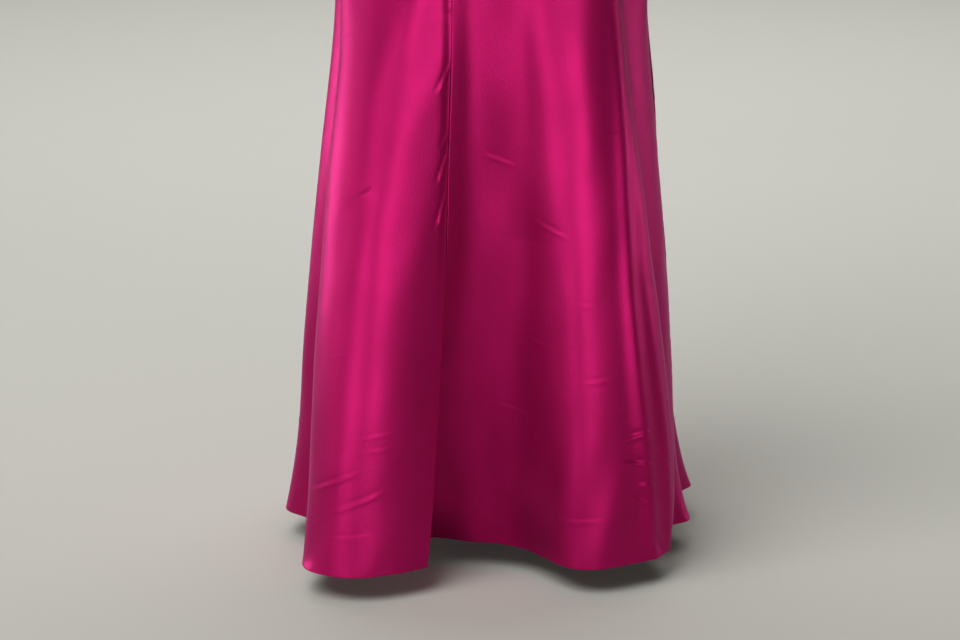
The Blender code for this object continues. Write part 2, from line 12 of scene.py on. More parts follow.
import bmesh
import bpy
import numpy as np
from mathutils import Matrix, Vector

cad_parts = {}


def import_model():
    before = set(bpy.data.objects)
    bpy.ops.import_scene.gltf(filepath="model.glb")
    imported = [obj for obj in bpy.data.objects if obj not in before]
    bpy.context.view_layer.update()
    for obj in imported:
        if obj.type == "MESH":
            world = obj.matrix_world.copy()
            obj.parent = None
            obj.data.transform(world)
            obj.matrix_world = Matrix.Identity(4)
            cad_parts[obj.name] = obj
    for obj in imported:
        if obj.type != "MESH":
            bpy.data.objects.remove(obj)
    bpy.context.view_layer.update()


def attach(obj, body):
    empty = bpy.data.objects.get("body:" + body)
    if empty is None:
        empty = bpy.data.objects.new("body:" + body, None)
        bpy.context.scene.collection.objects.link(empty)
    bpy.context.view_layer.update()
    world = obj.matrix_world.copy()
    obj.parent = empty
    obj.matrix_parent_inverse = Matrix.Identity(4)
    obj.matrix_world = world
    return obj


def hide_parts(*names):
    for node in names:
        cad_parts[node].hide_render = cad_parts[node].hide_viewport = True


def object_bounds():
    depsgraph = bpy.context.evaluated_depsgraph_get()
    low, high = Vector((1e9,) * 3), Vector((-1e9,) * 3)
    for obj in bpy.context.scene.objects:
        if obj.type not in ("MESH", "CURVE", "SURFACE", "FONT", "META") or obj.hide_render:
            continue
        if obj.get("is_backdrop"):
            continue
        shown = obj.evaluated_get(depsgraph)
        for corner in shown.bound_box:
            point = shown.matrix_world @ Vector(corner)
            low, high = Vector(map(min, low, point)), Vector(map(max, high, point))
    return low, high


LOG = logging.getLogger("gown")

# ---------------------------------------------------------------- the gown's driving sizes

WALL = 0.0015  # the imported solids' cloth, on whose outer face the shells lie
LAYER_GAP = 0.0006
WAIST_Z = -0.380
HIP_Z = -0.580
HEM_Z = -1.512
SLIT_TOP_Z = -1.085
ZIP_END_Z = -0.575

SECTIONS = (
    # name, z, half_width, front, back
    ("shoulder blade", -0.140, 0.141, 0.088, 0.103),
    ("bust", -0.245, 0.144, 0.095, 0.101),
    ("under bust", -0.312, 0.132, 0.093, 0.093),
    ("waist", WAIST_Z, 0.126, 0.092, 0.088),
    ("high hip", -0.470, 0.154, 0.106, 0.110),
    ("hip", HIP_Z, 0.174, 0.119, 0.132),
    ("thigh", -0.700, 0.184, 0.131, 0.147),
    ("over knee", -0.860, 0.189, 0.144, 0.164),
    ("knee", -1.060, 0.208, 0.157, 0.187),
    ("calf", -1.300, 0.228, 0.172, 0.212),
    ("hem", HEM_Z, 0.237, 0.185, 0.235),
)

# The hem seen from above, from the edge under the slit, round by the left side and the back, to the
# edge over the slit. hip_angle says where each fold starts at the hip, in degrees from the front.
# kick is how far the last stretch above the hem flicks out.
HEM_TURNS = (
    # name, x, y, hip_angle, kick
    ("slit under edge", -0.098, -0.093, -15.0, 0.000),
    ("slit hollow", -0.054, -0.102, -8.5, 0.000),
    ("front hollow", -0.004, -0.119, 1.0, 0.000),
    ("front flute foot", 0.045, -0.141, 10.0, 0.000),
    ("front flute rise", 0.069, -0.181, 18.5, 0.000),
    ("front flute crest", 0.103, -0.212, 31.0, 0.000),
    ("front flute face", 0.148, -0.2045, 35.0, -0.001),
    ("front flute turn", 0.187, -0.176, 39.0, -0.008),
    ("front flute side", 0.216, -0.100, 44.0, -0.020),
    ("side hollow", 0.203, -0.070, 50.0, -0.014),
    ("side flute", 0.248, -0.038, 67.0, 0.026),
    ("left side seam", 0.235, 0.018, 84.0, 0.002),
    ("side back hollow", 0.229, 0.048, 92.0, 0.002),
    ("side back flute", 0.262, 0.106, 104.0, 0.030),
    ("left back hollow", 0.205, 0.152, 118.0, 0.008),
    ("left back flute", 0.206, 0.230, 131.0, 0.012),
    ("left centre hollow", 0.130, 0.206, 146.0, 0.004),
    ("left centre flute", 0.084, 0.276, 160.0, 0.010),
    ("left of centre", 0.036, 0.243, 171.0, 0.004),
    ("centre back", 0.000, 0.237, 180.0, 0.004),
    ("right centre hollow", -0.040, 0.246, 190.0, 0.004),
    ("right centre flute", -0.106, 0.274, 204.0, 0.010),
    ("right back hollow", -0.146, 0.200, 218.0, 0.004),
    ("right back flute", -0.226, 0.194, 233.0, 0.012),
    ("right side hollow", -0.210, 0.118, 247.0, 0.004),
    ("right side seam", -0.252, 0.056, 260.0, 0.012),
    ("right side flute", -0.264, 0.006, 270.0, 0.012),
    ("right front hollow", -0.211, -0.050, 281.0, 0.000),
    ("right flute side", -0.217, -0.120, 284.5, 0.004),
    ("right flute turn", -0.228, -0.205, 288.0, 0.006),
    ("right flute crest", -0.190, -0.238, 305.0, 0.000),
    ("right flute face", -0.134, -0.234, 324.0, 0.000),
    ("slit over edge", -0.079, -0.205, 345.0, 0.000),
)
SEAMS = ("left side seam", "centre back", "right side seam")  # from panel to panel
# The turns beside the slit, as they would be if its seam were sewn down to the hem.
CLOSED_TURNS = (
    # name, x, y
    ("slit under edge", -0.062, -0.163),
    ("slit hollow", -0.036, -0.130),
    ("slit over edge", -0.062, -0.163),
)
PARTING_POWER = 1.5
FOLD_START = 0.055
FOLD_POWER = 1.12
KICK_HEIGHT = 0.17

TOP_EDGE = (
    # angle from the front, z
    (0.0, -0.220),
    (18.0, -0.196),
    (34.0, -0.173),
    (46.0, -0.170),
    (66.0, -0.193),
    (92.0, -0.217),
    (135.0, -0.239),
    (180.0, -0.252),
)
CUP_X = 0.083
CUP_Z = -0.247
CUP_DEPTH = 0.031
CUP_WIDTH = 0.052
CUP_ABOVE = 0.088
CUP_BELOW = 0.050
CUP_FADE = 1.6

STRAP_WIDTH = 0.012
STRAP_THICK = 0.0015
STRAP_TUCK = 0.014
STRAP_FRONT_ANGLE = 41.0
STRAP_BACK_ANGLE = 141.0
STRAP_PATH = (
    # name, x, y, z
    ("chest", 0.095, -0.080, -0.118),
    ("collar bone", 0.097, -0.060, -0.050),
    ("shoulder front", 0.099, -0.030, -0.010),
    ("shoulder", 0.100, 0.002, 0.0015),
    ("shoulder back", 0.098, 0.036, -0.012),
    ("shoulder blade", 0.094, 0.068, -0.055),
    ("upper back", 0.088, 0.088, -0.130),
)

TAPE_WIDTH = 0.012
SLIDER_Z = -0.2615
LIP_HEIGHT = 0.0085
LIP_OPEN = 0.0011

# ---------------------------------------------------------------- the cloth's own sizes

CLOTH = 0.0008
TURNED = 0.0006  # how much a turned edge or an allowance adds
TURN_STEP = 0.0006  # how wide the step is where it ends
SEAM_GAP = 0.00008
GROOVE_WIDTH = 0.0015
GROOVE_DEPTH = 0.0004
EDGE_RADIUS = 0.0008
EDGE_STEPS = (0.0, 0.0004, 0.0009, 0.0016, 0.0027, 0.0044, 0.0066, 0.0091)
EDGE_DROP = 0.45  # how far a free edge is rounded off, as a share of its thickness
HEM_DEPTH = 0.050
FACING = 0.022
ZIP_SEAM = 0.015
TOP_TURN = 0.010
SEWN_FADE = 0.012  # over what height a seam goes over into a free edge
EVERYWHERE = -9.0  # heights below and above the whole gown, for edges sewn all along or nowhere
NOWHERE = 9.0
DART_RADIUS = 0.13  # how far the cloth at a dart lies from the gown's axis
DART_FADE = 0.03

# The cloth's slow waves, and the puckers along its seams.
WAVE_ACROSS = 0.11
WAVE_DOWN = 0.34
WAVE_SLANT = 0.35
WAVE_START = 0.15
WAVE_SHARES = (0.53, 0.79, 1.0, 1.37, 2.1)
WAVE_PEAK = 2.2
PUCKER_DOWN = 0.021
PUCKER_ACROSS = 0.024
PUCKER_REACH = 0.011
PUCKER_RUN = 7
PUCKER_MEAN = 0.55
PUCKER_SWING = 0.45

# A crease's line is followed through a few points. The trough beside it is measured in its widths.
CREASE_POINTS = 9
CREASE_REACH = 4
CREASE_BLUNT = 0.8
TROUGH_AWAY = 1.9
TROUGH_WIDE = 1.4

# A stitch at four places along it: shares of its length, its thickness and how far it stands out.
STITCH_THICK = 0.0004
STITCH_SHARES = (0.0, 0.22, 0.78, 1.0)
STITCH_WIDTHS = (0.45, 1.0, 1.0, 0.45)
STITCH_LIFTS = (-0.3, 0.3, 0.3, -0.3)
THREAD_SIDES = 6


class Body(Enum):
    """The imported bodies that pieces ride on."""

    GOWN = "gown"
    PULL = "pull"


class Slot(Enum):
    """The record's material slots."""

    SATIN = "satin"
    TAPE = "zip_tape"
    METAL = "zip_metal"


# ---------------------------------------------------------------- curves


class SmoothCurve:
    """A curve with steadily changing bends through rows of values, with free ends."""

    def __init__(self, knots: np.ndarray, values: np.ndarray) -> None:
        """Solves for the bends.

        Args:
            knots: the parameter at each row.
            values: one row of values for each knot.
        """
        self.knots = np.asarray(knots, float)
        self.values = np.asarray(values, float)
        step = np.diff(self.knots)
        slope = np.diff(self.values, axis=0) / step[:, None]
        matrix = np.eye(len(self.knots))
        right = np.zeros_like(self.values)
        for i in range(1, len(self.knots) - 1):
            matrix[i, i - 1 : i + 2] = step[i - 1], 2 * (step[i - 1] + step[i]), step[i]
            right[i] = 6 * (slope[i] - slope[i - 1])
        self.bend = np.linalg.solve(matrix, right)

    def at(self, where: np.ndarray) -> np.ndarray:
        """Values at the given parameters.

        Args:
            where: parameters, of any shape.

        Returns:
            The values, with one more axis than where.
        """
        where = np.asarray(where, float)
        i = np.clip(np.searchsorted(self.knots, where, "right") - 1, 0, len(self.knots) - 2)
        step = (self.knots[i + 1] - self.knots[i])[..., None]
        b = (where - self.knots[i])[..., None] / step
        a = 1 - b
        bends = (a**3 - a) * self.bend[i] + (b**3 - b) * self.bend[i + 1]
        return a * self.values[i] + b * self.values[i + 1] + bends * step**2 / 6


class SteadyCurve:
    """A curve through single values that never overshoots them."""

    def __init__(self, knots: list[float], values: list[float]) -> None:
        """Works out the slope at each knot.

        Args:
            knots: the parameter at each value, rising.
            values: the values.
        """
        self.knots = np.asarray(knots, float)
        self.values = np.asarray(values, float)
        step = np.diff(self.knots)
        slope = np.diff(self.values) / step
        self.slopes = np.concatenate([[slope[0]], np.zeros(len(step) - 1), [slope[-1]]])
        for i in range(1, len(step)):
            if slope[i - 1] * slope[i] > 0:
                before = 2 * step[i] + step[i - 1]
                after = step[i] + 2 * step[i - 1]
                self.slopes[i] = (before + after) / (before / slope[i - 1] + after / slope[i])

    def at(self, where: np.ndarray) -> np.ndarray:
        """Values at the given parameters, which may have any shape.

        Args:
            where: the parameters.

        Returns:
            The values, in the same shape.
        """
        where = np.clip(np.asarray(where, float), self.knots[0], self.knots[-1])
        i = np.clip(np.searchsorted(self.knots, where, "right") - 1, 0, len(self.knots) - 2)
        step = self.knots[i + 1] - self.knots[i]
        b = (where - self.knots[i]) / step
        return (
            (1 + 2 * b) * (1 - b) ** 2 * self.values[i]
            + b * (1 - b) ** 2 * step * self.slopes[i]
            + b * b * (3 - 2 * b) * self.values[i + 1]
            + b * b * (b - 1) * step * self.slopes[i + 1]
        )


def ease(value: np.ndarray) -> np.ndarray:
    """0 below 0, 1 above 1, and a smooth step between."""
    value = np.clip(value, 0.0, 1.0)
    return value * value * (3 - 2 * value)


def unit(vectors: np.ndarray) -> np.ndarray:
    """The vectors along the last axis, at length 1."""
    return vectors / np.linalg.norm(vectors, axis=-1, keepdims=True)


def travelled(points: np.ndarray, axis: int = 0) -> np.ndarray:
    """Distances from the first point to each of the others, through those between.

    Args:
        points: points along the last axis.
        axis: the axis that the line of points runs along.

    Returns:
        The distances, 0 for the first.
    """
    run = np.cumsum(np.linalg.norm(np.diff(points, axis=axis), axis=-1), axis=axis)
    return np.concatenate([np.zeros_like(run.take([0], axis=axis)), run], axis=axis)


# ---------------------------------------------------------------- forms


class Figure:
    """The level sections that the gown hangs round."""

    def __init__(self) -> None:
        """Reads the sections."""
        depth_down = [-row[1] for row in SECTIONS]
        self.curves = [SteadyCurve(depth_down, [row[k] for row in SECTIONS]) for k in (2, 3, 4)]

    def oval(self, angle: np.ndarray, z: np.ndarray) -> np.ndarray:
        """Plan points of the sections.

        Args:
            angle: degrees from the front, towards the wearer's left.
            z: heights, of the same shape.

        Returns:
            x and y along a last axis.
        """
        half_width, front, back = (curve.at(-np.asarray(z, float)) for curve in self.curves)
        turn = np.radians(angle)
        depth = front + (back - front) * (1 - np.cos(turn)) / 2
        return np.stack([half_width * np.sin(turn), -depth * np.cos(turn)], axis=-1)


@dataclass
class Form:
    """A smooth surface that panels lie on. Its points are named by a place round it and a height.

    Attributes:
        figure: the sections under it.
        normal_step: how far to each side of a place its normal is measured.
        nearby: how far round it a crease can reach.
    """

    figure: Figure
    normal_step: float = 0.0005
    nearby: float = 0.2

    def place(self, along: np.ndarray, z: np.ndarray) -> np.ndarray:
        """Points of the surface, for places and heights of the same shape."""
        raise NotImplementedError

    def top(self, along: np.ndarray) -> np.ndarray:
        """Heights of the form's upper edge."""
        raise NotImplementedError

    def bottom(self, along: np.ndarray) -> np.ndarray:
        """Heights of the form's lower edge."""
        return np.full(np.shape(along), WAIST_Z)

    def normal(self, along: np.ndarray, z: np.ndarray) -> np.ndarray:
        """Level unit normals, pointing out of the garment."""
        across = self.place(along + self.normal_step, z) - self.place(along - self.normal_step, z)
        return unit(np.stack([across[..., 1], -across[..., 0], np.zeros_like(z)], axis=-1))


class SkirtForm(Form):
    """The flared skirt. A place round it is a distance along its hem."""

    def __init__(self, figure: Figure) -> None:
        """Joins the hem's turns by curves, once with the slit open and once as if it were sewn.

        Args:
            figure: the sections under the skirt.
        """
        super().__init__(figure)
        rows = np.array([row[1:] for row in HEM_TURNS], float)
        knots = travelled(rows[:, :2])
        self.knots = dict(zip([row[0] for row in HEM_TURNS], knots))
        self.length = float(knots[-1])
        self.opened = SmoothCurve(knots, rows)
        rows = rows.copy()
        names = list(self.knots)
        for name, x, y in CLOSED_TURNS:
            rows[names.index(name), :2] = x, y
        turn = np.array([0.0, 0.0, 360.0, 0.0])
        before, after = slice(-5, -1), slice(1, 5)
        self.closed = SmoothCurve(
            np.concatenate([knots[before] - self.length, knots, knots[after] + self.length]),
            np.concatenate([rows[before] - turn, rows, rows[after] + turn]),
        )

    def hung(self, turns: np.ndarray, z: np.ndarray) -> np.ndarray:
        """Plan points of cloth that hangs to a hem.

        Args:
            turns: rows of the hem's x, y, hip angle and kick along the last axis.
            z: heights.

        Returns:
            x and y along the last axis.
        """
        start = HIP_Z + FOLD_START
        weight = (np.clip((start - z) / (start - HEM_Z), 0.0, 1.0) ** FOLD_POWER)[..., None]
        hem, angle, kick = turns[..., :2], turns[..., 2], turns[..., 3:4]
        at_hem = self.figure.oval(angle, np.full_like(z, HEM_Z))
        flick = (np.clip((HEM_Z + KICK_HEIGHT - z) / KICK_HEIGHT, 0.0, 1.0) ** 2 - 1.0)[..., None]
        return self.figure.oval(angle, z) + weight * (hem - at_hem + unit(hem) * kick * flick)

    def place(self, along: np.ndarray, z: np.ndarray) -> np.ndarray:
        """Points of the surface, for places and heights of the same shape.

        Args:
            along: distances along the hem.
            z: heights.

        Returns:
            The points, along a new last axis.
        """
        along, z = np.broadcast_arrays(np.asarray(along, float), np.asarray(z, float))
        fall = np.clip((SLIT_TOP_Z - z) / (SLIT_TOP_Z - HEM_Z), 0.0, 1.0)[..., None]
        opened = fall**PARTING_POWER
        plan = (1 - opened) * self.hung(self.closed.at(along), z)
        plan = plan + opened * self.hung(self.opened.at(along), z)
        return np.concatenate([plan, z[..., None]], axis=-1)

    def top(self, along: np.ndarray) -> np.ndarray:
        """Heights of the waist seam."""
        return np.full(np.shape(along), WAIST_Z)

    def bottom(self, along: np.ndarray) -> np.ndarray:
        """Heights of the hem."""
        return np.full(np.shape(along), HEM_Z)


class BodiceForm(Form):
    """The bodice. A place round it is an angle from the front, towards the wearer's left."""

    def __init__(self, figure: Figure) -> None:
        """Reads the top edge."""
        super().__init__(figure, normal_step=0.3, nearby=50.0)
        self.edge = SteadyCurve([row[0] for row in TOP_EDGE], [row[1] for row in TOP_EDGE])

    def top(self, along: np.ndarray) -> np.ndarray:
        """Heights of the top edge."""
        return self.edge.at(np.abs((np.asarray(along, float) + 180.0) % 360.0 - 180.0))

    def place(self, along: np.ndarray, z: np.ndarray) -> np.ndarray:
        """Points of the surface, for angles and heights of the same shape.

        Args:
            along: angles from the front.
            z: heights.

        Returns:
            The points, along a new last axis.
        """
        along, z = np.broadcast_arrays(np.asarray(along, float), np.asarray(z, float))
        plan = self.figure.oval(along, z)
        spread = np.where(z > CUP_Z, CUP_ABOVE, CUP_BELOW)
        height = np.exp(-(((z - CUP_Z) / spread) ** 2))
        side = np.exp(-(((np.abs(plan[..., 0]) - CUP_X) / CUP_WIDTH) ** 2))
        plan[..., 1] -= CUP_DEPTH * height * side * ease(np.cos(np.radians(along)) * CUP_FADE)
        return np.concatenate([plan, z[..., None]], axis=-1)


# ---------------------------------------------------------------- creases and edges


@dataclass(frozen=True)
class Wander:
    """A smooth uneven wave between about -1 and 1, the same on every run.

    Attributes:
        seed: which wave it is.
        length: its usual distance from crest to crest.
    """

    seed: int
    length: float

    def at(self, where: np.ndarray) -> np.ndarray:
        """The wave at the given distances."""
        draw = np.random.default_rng(self.seed)
        total = np.zeros(np.shape(where))
        for share in WAVE_SHARES:
            total += np.sin(2 * math.pi * (where / (self.length * share) + draw.uniform()))
        return total / WAVE_PEAK


@dataclass(frozen=True)
class Crease:
    """A soft ridge pressed into the cloth, or a trough where its rise is negative.

    Attributes:
        start: where it begins: a place round the form, and a height.
        end: where it ends.
        rise: how far its line stands out of the cloth.
        width: how far from its line the cloth has nearly come back.
        trough: depth of a second line beside it, as a share of rise. It lies over a crease that
            runs to the wearer's left.
        bend: how far its middle is drawn round the form.
    """

    start: tuple[float, float]
    end: tuple[float, float]
    rise: float
    width: float
    trough: float = 0.6
    bend: float = 0.0

    def lift(self, form: Form, along: np.ndarray, points: np.ndarray, normal: np.ndarray) -> np.ndarray:
        """How far this crease moves each point of a panel out.

        Args:
            form: what the crease's places are on.
            along: the points' places round the form.
            points: the panel's points.
            normal: their unit normals.

        Returns:
            A distance for each point.
        """
        share = np.linspace(0.0, 1.0, CREASE_POINTS)
        place = self.start[0] + share * (self.end[0] - self.start[0])
        place = place + self.bend * np.sin(np.pi * share)
        height = self.start[1] + share * (self.end[1] - self.start[1])
        line = form.place(place, height)
        reach = CREASE_REACH * self.width
        low, high = line.min(axis=0) - reach, line.max(axis=0) + reach
        near = np.all((points > low) & (points < high), axis=-1)
        near &= np.abs(along - place.mean()) < form.nearby
        out = np.zeros(along.shape)
        if not near.any():
            return out
        first, step = line[:-1], np.diff(line, axis=0)
        point = points[near][:, None]
        part = np.clip(((point - first) * step).sum(-1) / (step * step).sum(-1), 0.0, 1.0)
        gap = point - (first + part[..., None] * step)
        away = np.linalg.norm(gap, axis=-1)
        best = away.argmin(axis=1)
        rows = np.arange(len(best))
        side = np.cross(normal[near], unit(step)[best])
        signed = np.sign((gap[rows, best] * side).sum(-1)) * away[rows, best]
        part = (best + part[rows, best]) / len(step)
        ridge = np.exp(-((signed / self.width) ** 2))
        beside = np.exp(-(((signed - TROUGH_AWAY * self.width) / (TROUGH_WIDE * self.width)) ** 2))
        out[near] = self.rise * np.sin(np.pi * part) ** CREASE_BLUNT * (ridge - self.trough * beside)
        return out


def creases(*rows: tuple[float, ...]) -> tuple[Crease, ...]:
    """Creases from rows of place, z, end place, end z, rise, width, and trough and bend if any."""
    return tuple(Crease(row[:2], row[2:4], *row[4:]) for row in rows)


@dataclass(frozen=True)
class Edge:
    """How one edge of a panel is finished.

    Attributes:
        turned: width of the cloth that is folded inside it.
        sewn_above: the height above which it is sewn to its neighbour. Below, it hangs free.
        zipped: whether the zip is sewn behind it, so it parts round the slider.
        pucker: how far its stitching draws the cloth in and out.
    """

    turned: float = 0.012
    sewn_above: float = EVERYWHERE
    zipped: bool = False
    pucker: float = 0.00022

    def gap(self, z: np.ndarray) -> np.ndarray:
        """How far the edge stays from the line of the seam."""
        gap = np.full(np.shape(z), SEAM_GAP)
        if self.zipped:
            away = np.abs(z - SLIDER_Z) / LIP_HEIGHT
            gap = gap + (LIP_OPEN - SEAM_GAP) * ease((1.0 - away) * 3.0)
        return gap

    def sewn(self, z: np.ndarray) -> np.ndarray:
        """1 where the edge is sewn, and 0 where it is free."""
        return ease((z - self.sewn_above) / SEWN_FADE)


SEWN = Edge()


def bite(distance: np.ndarray, radius: float) -> np.ndarray:
    """1 at an edge, and down to 0 at a radius from it, along a quarter circle."""
    share = 1 - np.clip(distance / radius, 0.0, 1.0)
    return 1 - np.sqrt(1 - share**2)


@dataclass(frozen=True)
class Dart:
    """A dart sewn into a panel, from its lower edge up to a tip.

    Attributes:
        foot: its place round the form at the lower edge.
        tip: its place at its tip.
        height: height of the tip.
    """

    foot: float
    tip: float
    height: float

    def place(self, z: np.ndarray) -> np.ndarray:
        """Places round the form, down the dart and straight on above it."""
        share = (self.height - z) / (self.height - WAIST_Z)
        return self.tip + np.clip(share, -0.2, 1.0) * (self.foot - self.tip)


def layout(total: np.ndarray, first: np.ndarray, last: np.ndarray, shares: np.ndarray) -> np.ndarray:
    """Places between two ends, close together near each end.

    Args:
        total: distances between the ends, of any shape.
        first: places near the first end, measured from it and rising.
        last: places near the last end, measured from it and rising.
        shares: shares of the stretch between the two groups, for the places in it.

    Returns:
        Distances from the first end, along a new last axis.
    """
    total = np.asarray(total, float)[..., None]
    near = np.broadcast_to(first, (*total.shape[:-1], len(first)))
    far = total - np.asarray(last)[::-1]
    between = near[..., -1:] + shares * (far[..., :1] - near[..., -1:])
    return np.concatenate([near, between, far], axis=-1)


def evenly(count: int) -> np.ndarray:
    """Shares that cut a stretch into this many equal spaces, without its ends."""
    return np.linspace(0.0, 1.0, count + 1)[1:-1]


# ---------------------------------------------------------------- where the creases lie

FRONT_LEFT_CREASES = creases(
    # The soft swell in the low part of the bay between the two front flutes.
    (0.158, -1.120, 0.152, -1.640, 0.00550, 0.0260, 0.0),
    # The long fold down the side of the front flute, and where its hem turns out.
    (0.396, -0.760, 0.352, -1.580, 0.00440, 0.0110, 0.0, -0.039),
    (0.337, -1.180, 0.352, -1.640, 0.00280, 0.0110, 0.0),
    (0.366, -1.130, 0.384, -1.600, 0.00240, 0.0085, 0.0),
    (0.312, -1.520, 0.388, -1.512, 0.00450, 0.0150, 0.0),
    (0.168, -1.092, 0.238, -1.113, 0.00034, 0.0020),
    (0.300, -1.361, 0.348, -1.350, 0.00120, 0.0024),
    (0.298, -1.384, 0.350, -1.393, 0.00110, 0.0024),
    (0.318, -1.4155, 0.352, -1.418, 0.00090, 0.0023),
    (0.312, -1.425, 0.338, -1.442, 0.00080, 0.0022),
    (0.354, -1.374, 0.380, -1.409, 0.00080, 0.0024),
    (0.358, -1.398, 0.380, -1.430, 0.00075, 0.0024),
    (0.322, -1.470, 0.354, -1.502, 0.00070, 0.0045),
    (0.340, -1.474, 0.363, -1.510, -0.00080, 0.0045),
    (0.286, -0.945, 0.314, -0.948, 0.00020, 0.0021),
    (0.308, -0.989, 0.356, -0.991, 0.00024, 0.0022),
    (0.324, -0.860, 0.358, -0.859, 0.00020, 0.0021),
    (0.205, -1.455, 0.285, -1.452, 0.00018, 0.0019),
    (0.235, -1.190, 0.275, -1.194, 0.00018, 0.0020),
    (0.150, -1.240, 0.196, -1.246, 0.00020, 0.0024),
    (0.095, -1.329, 0.170, -1.338, 0.00024, 0.0021),
    (0.080, -1.018, 0.135, -1.032, 0.00026, 0.0022),
    (0.250, -1.285, 0.305, -1.281, 0.00018, 0.0024),
)
FRONT_RIGHT_CREASES = creases(
    (1.762, -1.526, 1.812, -1.514, 0.00350, 0.0140, 0.0),
    (1.812, -1.080, 1.868, -1.048, 0.00070, 0.0021),
    (1.790, -1.419, 1.866, -1.383, 0.00075, 0.0019),
    (1.826, -1.437, 1.898, -1.409, 0.00045, 0.0024),
    (1.787, -1.466, 1.814, -1.444, 0.00030, 0.0022),
    (1.835, -1.350, 1.915, -1.338, 0.00024, 0.0019),
    (1.860, -1.362, 1.918, -1.358, 0.00018, 0.0019),
    (1.790, -0.884, 1.812, -0.875, 0.00024, 0.0021),
    (1.815, -1.467, 1.885, -1.461, 0.00020, 0.0019),
    (1.815, -1.255, 1.850, -1.243, 0.00020, 0.0022),
    (1.870, -1.180, 1.905, -1.186, 0.00018, 0.0024),
    (1.780, -1.300, 1.800, -1.285, 0.00024, 0.0022),
    # The valley beside the seam over the slit, and the puckers across it.
    (1.9505, -0.560, 1.9515, -1.200, -0.00260, 0.0062, 0.0),
    (1.936, -0.942, 1.9530, -0.906, 0.00120, 0.0020, 0.6),
    (1.944, -1.006, 1.9530, -0.988, 0.00110, 0.0020, 0.6),
    (1.941, -1.048, 1.9530, -1.011, 0.00160, 0.0020, 0.6),
    (1.940, -1.104, 1.9525, -1.058, 0.00160, 0.0020, 0.6),
    # On the wearer's right side, by the seam.
    (1.534, -1.387, 1.576, -1.399, 0.00045, 0.0024),
    (1.540, -1.431, 1.570, -1.423, 0.00040, 0.0023),
    (1.526, -1.091, 1.560, -1.081, 0.00022, 0.0024),
)
SIDE_CREASES = creases(
    (0.494, -1.398, 0.524, -1.391, 0.00035, 0.0024),
    (0.498, -1.432, 0.520, -1.440, 0.00035, 0.0026),
    (0.388, -1.330, 0.420, -1.322, 0.00030, 0.0034),
    (0.500, -1.105, 0.528, -1.096, 0.00020, 0.0026),
)
BACK_LEFT_CREASES = creases(
    (0.640, -1.380, 0.676, -1.372, 0.00045, 0.0024),
    (0.648, -1.412, 0.680, -1.421, 0.00040, 0.0024),
    (0.655, -1.450, 0.672, -1.446, 0.00030, 0.0022),
    (0.800, -1.330, 0.838, -1.318, 0.00040, 0.0026),
    (0.806, -1.402, 0.840, -1.409, 0.00045, 0.0022),
    (0.822, -1.440, 0.852, -1.428, 0.00030, 0.0024),
    (0.965, -1.365, 1.000, -1.352, 0.00045, 0.0026),
    (0.955, -1.430, 0.990, -1.441, 0.00040, 0.0022),
    (0.640, -1.060, 0.672, -1.048, 0.00025, 0.0024),
    (0.800, -0.960, 0.826, -0.966, 0.00020, 0.0022),
    (0.980, -0.820, 1.004, -0.812, 0.00020, 0.0022),
    (0.930, -0.590, 0.845, -0.700, 0.0010, 0.0110, 0.3),
)
BACK_RIGHT_CREASES = creases(
    (1.168, -1.340, 1.204, -1.352, 0.00040, 0.0024),
    (1.172, -1.410, 1.212, -1.401, 0.00050, 0.0024),
    (1.180, -1.447, 1.200, -1.440, 0.00030, 0.0022),
    (1.330, -1.360, 1.366, -1.349, 0.00045, 0.0026),
    (1.338, -1.395, 1.372, -1.402, 0.00040, 0.0022),
    (1.345, -1.455, 1.362, -1.446, 0.00030, 0.0022),
    (1.160, -0.990, 1.190, -0.998, 0.00020, 0.0022),
    (1.335, -1.120, 1.366, -1.110, 0.00025, 0.0024),
    (1.215, -0.600, 1.300, -0.705, 0.0010, 0.0110, 0.3),
)
BODICE_CREASES = creases(
    (-72.0, -0.302, -52.0, -0.309, 0.0006, 0.0045, 0.4),
    (-80.0, -0.322, -64.0, -0.327, 0.0005, 0.0040, 0.4),
    (54.0, -0.306, 70.0, -0.300, 0.0006, 0.0042, 0.4),
    (62.0, -0.329, 80.0, -0.321, 0.0005, 0.0045, 0.4),
    (-12.0, -0.352, 9.0, -0.349, 0.0004, 0.0050, 0.4),
)


# ---------------------------------------------------------------- cloth


def new_object(name: str, mesh: bpy.types.Mesh, material: bpy.types.Material) -> bpy.types.Object:
    """Puts a mesh in the scene as a named object with one material."""
    mesh.materials.append(material)
    made = bpy.data.objects.new(name, mesh)
    bpy.context.scene.collection.objects.link(made)
    return made


def declare(piece: bpy.types.Object, body: Body, node: str = "") -> bpy.types.Object:
    """Declares a piece.

    Args:
        piece: the piece.
        body: the body that it rides on.
        node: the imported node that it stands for, if any.

    Returns:
        The same piece.
    """
    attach(piece, body.value)
    if node:
        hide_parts(node)
    return piece


def select(pieces: list[bpy.types.Object]) -> None:
    """Selects these objects alone, with the first one active."""
    bpy.ops.object.select_all(action="DESELECT")
    for piece in pieces:
        piece.select_set(True)
    bpy.context.view_layer.objects.active = pieces[0]


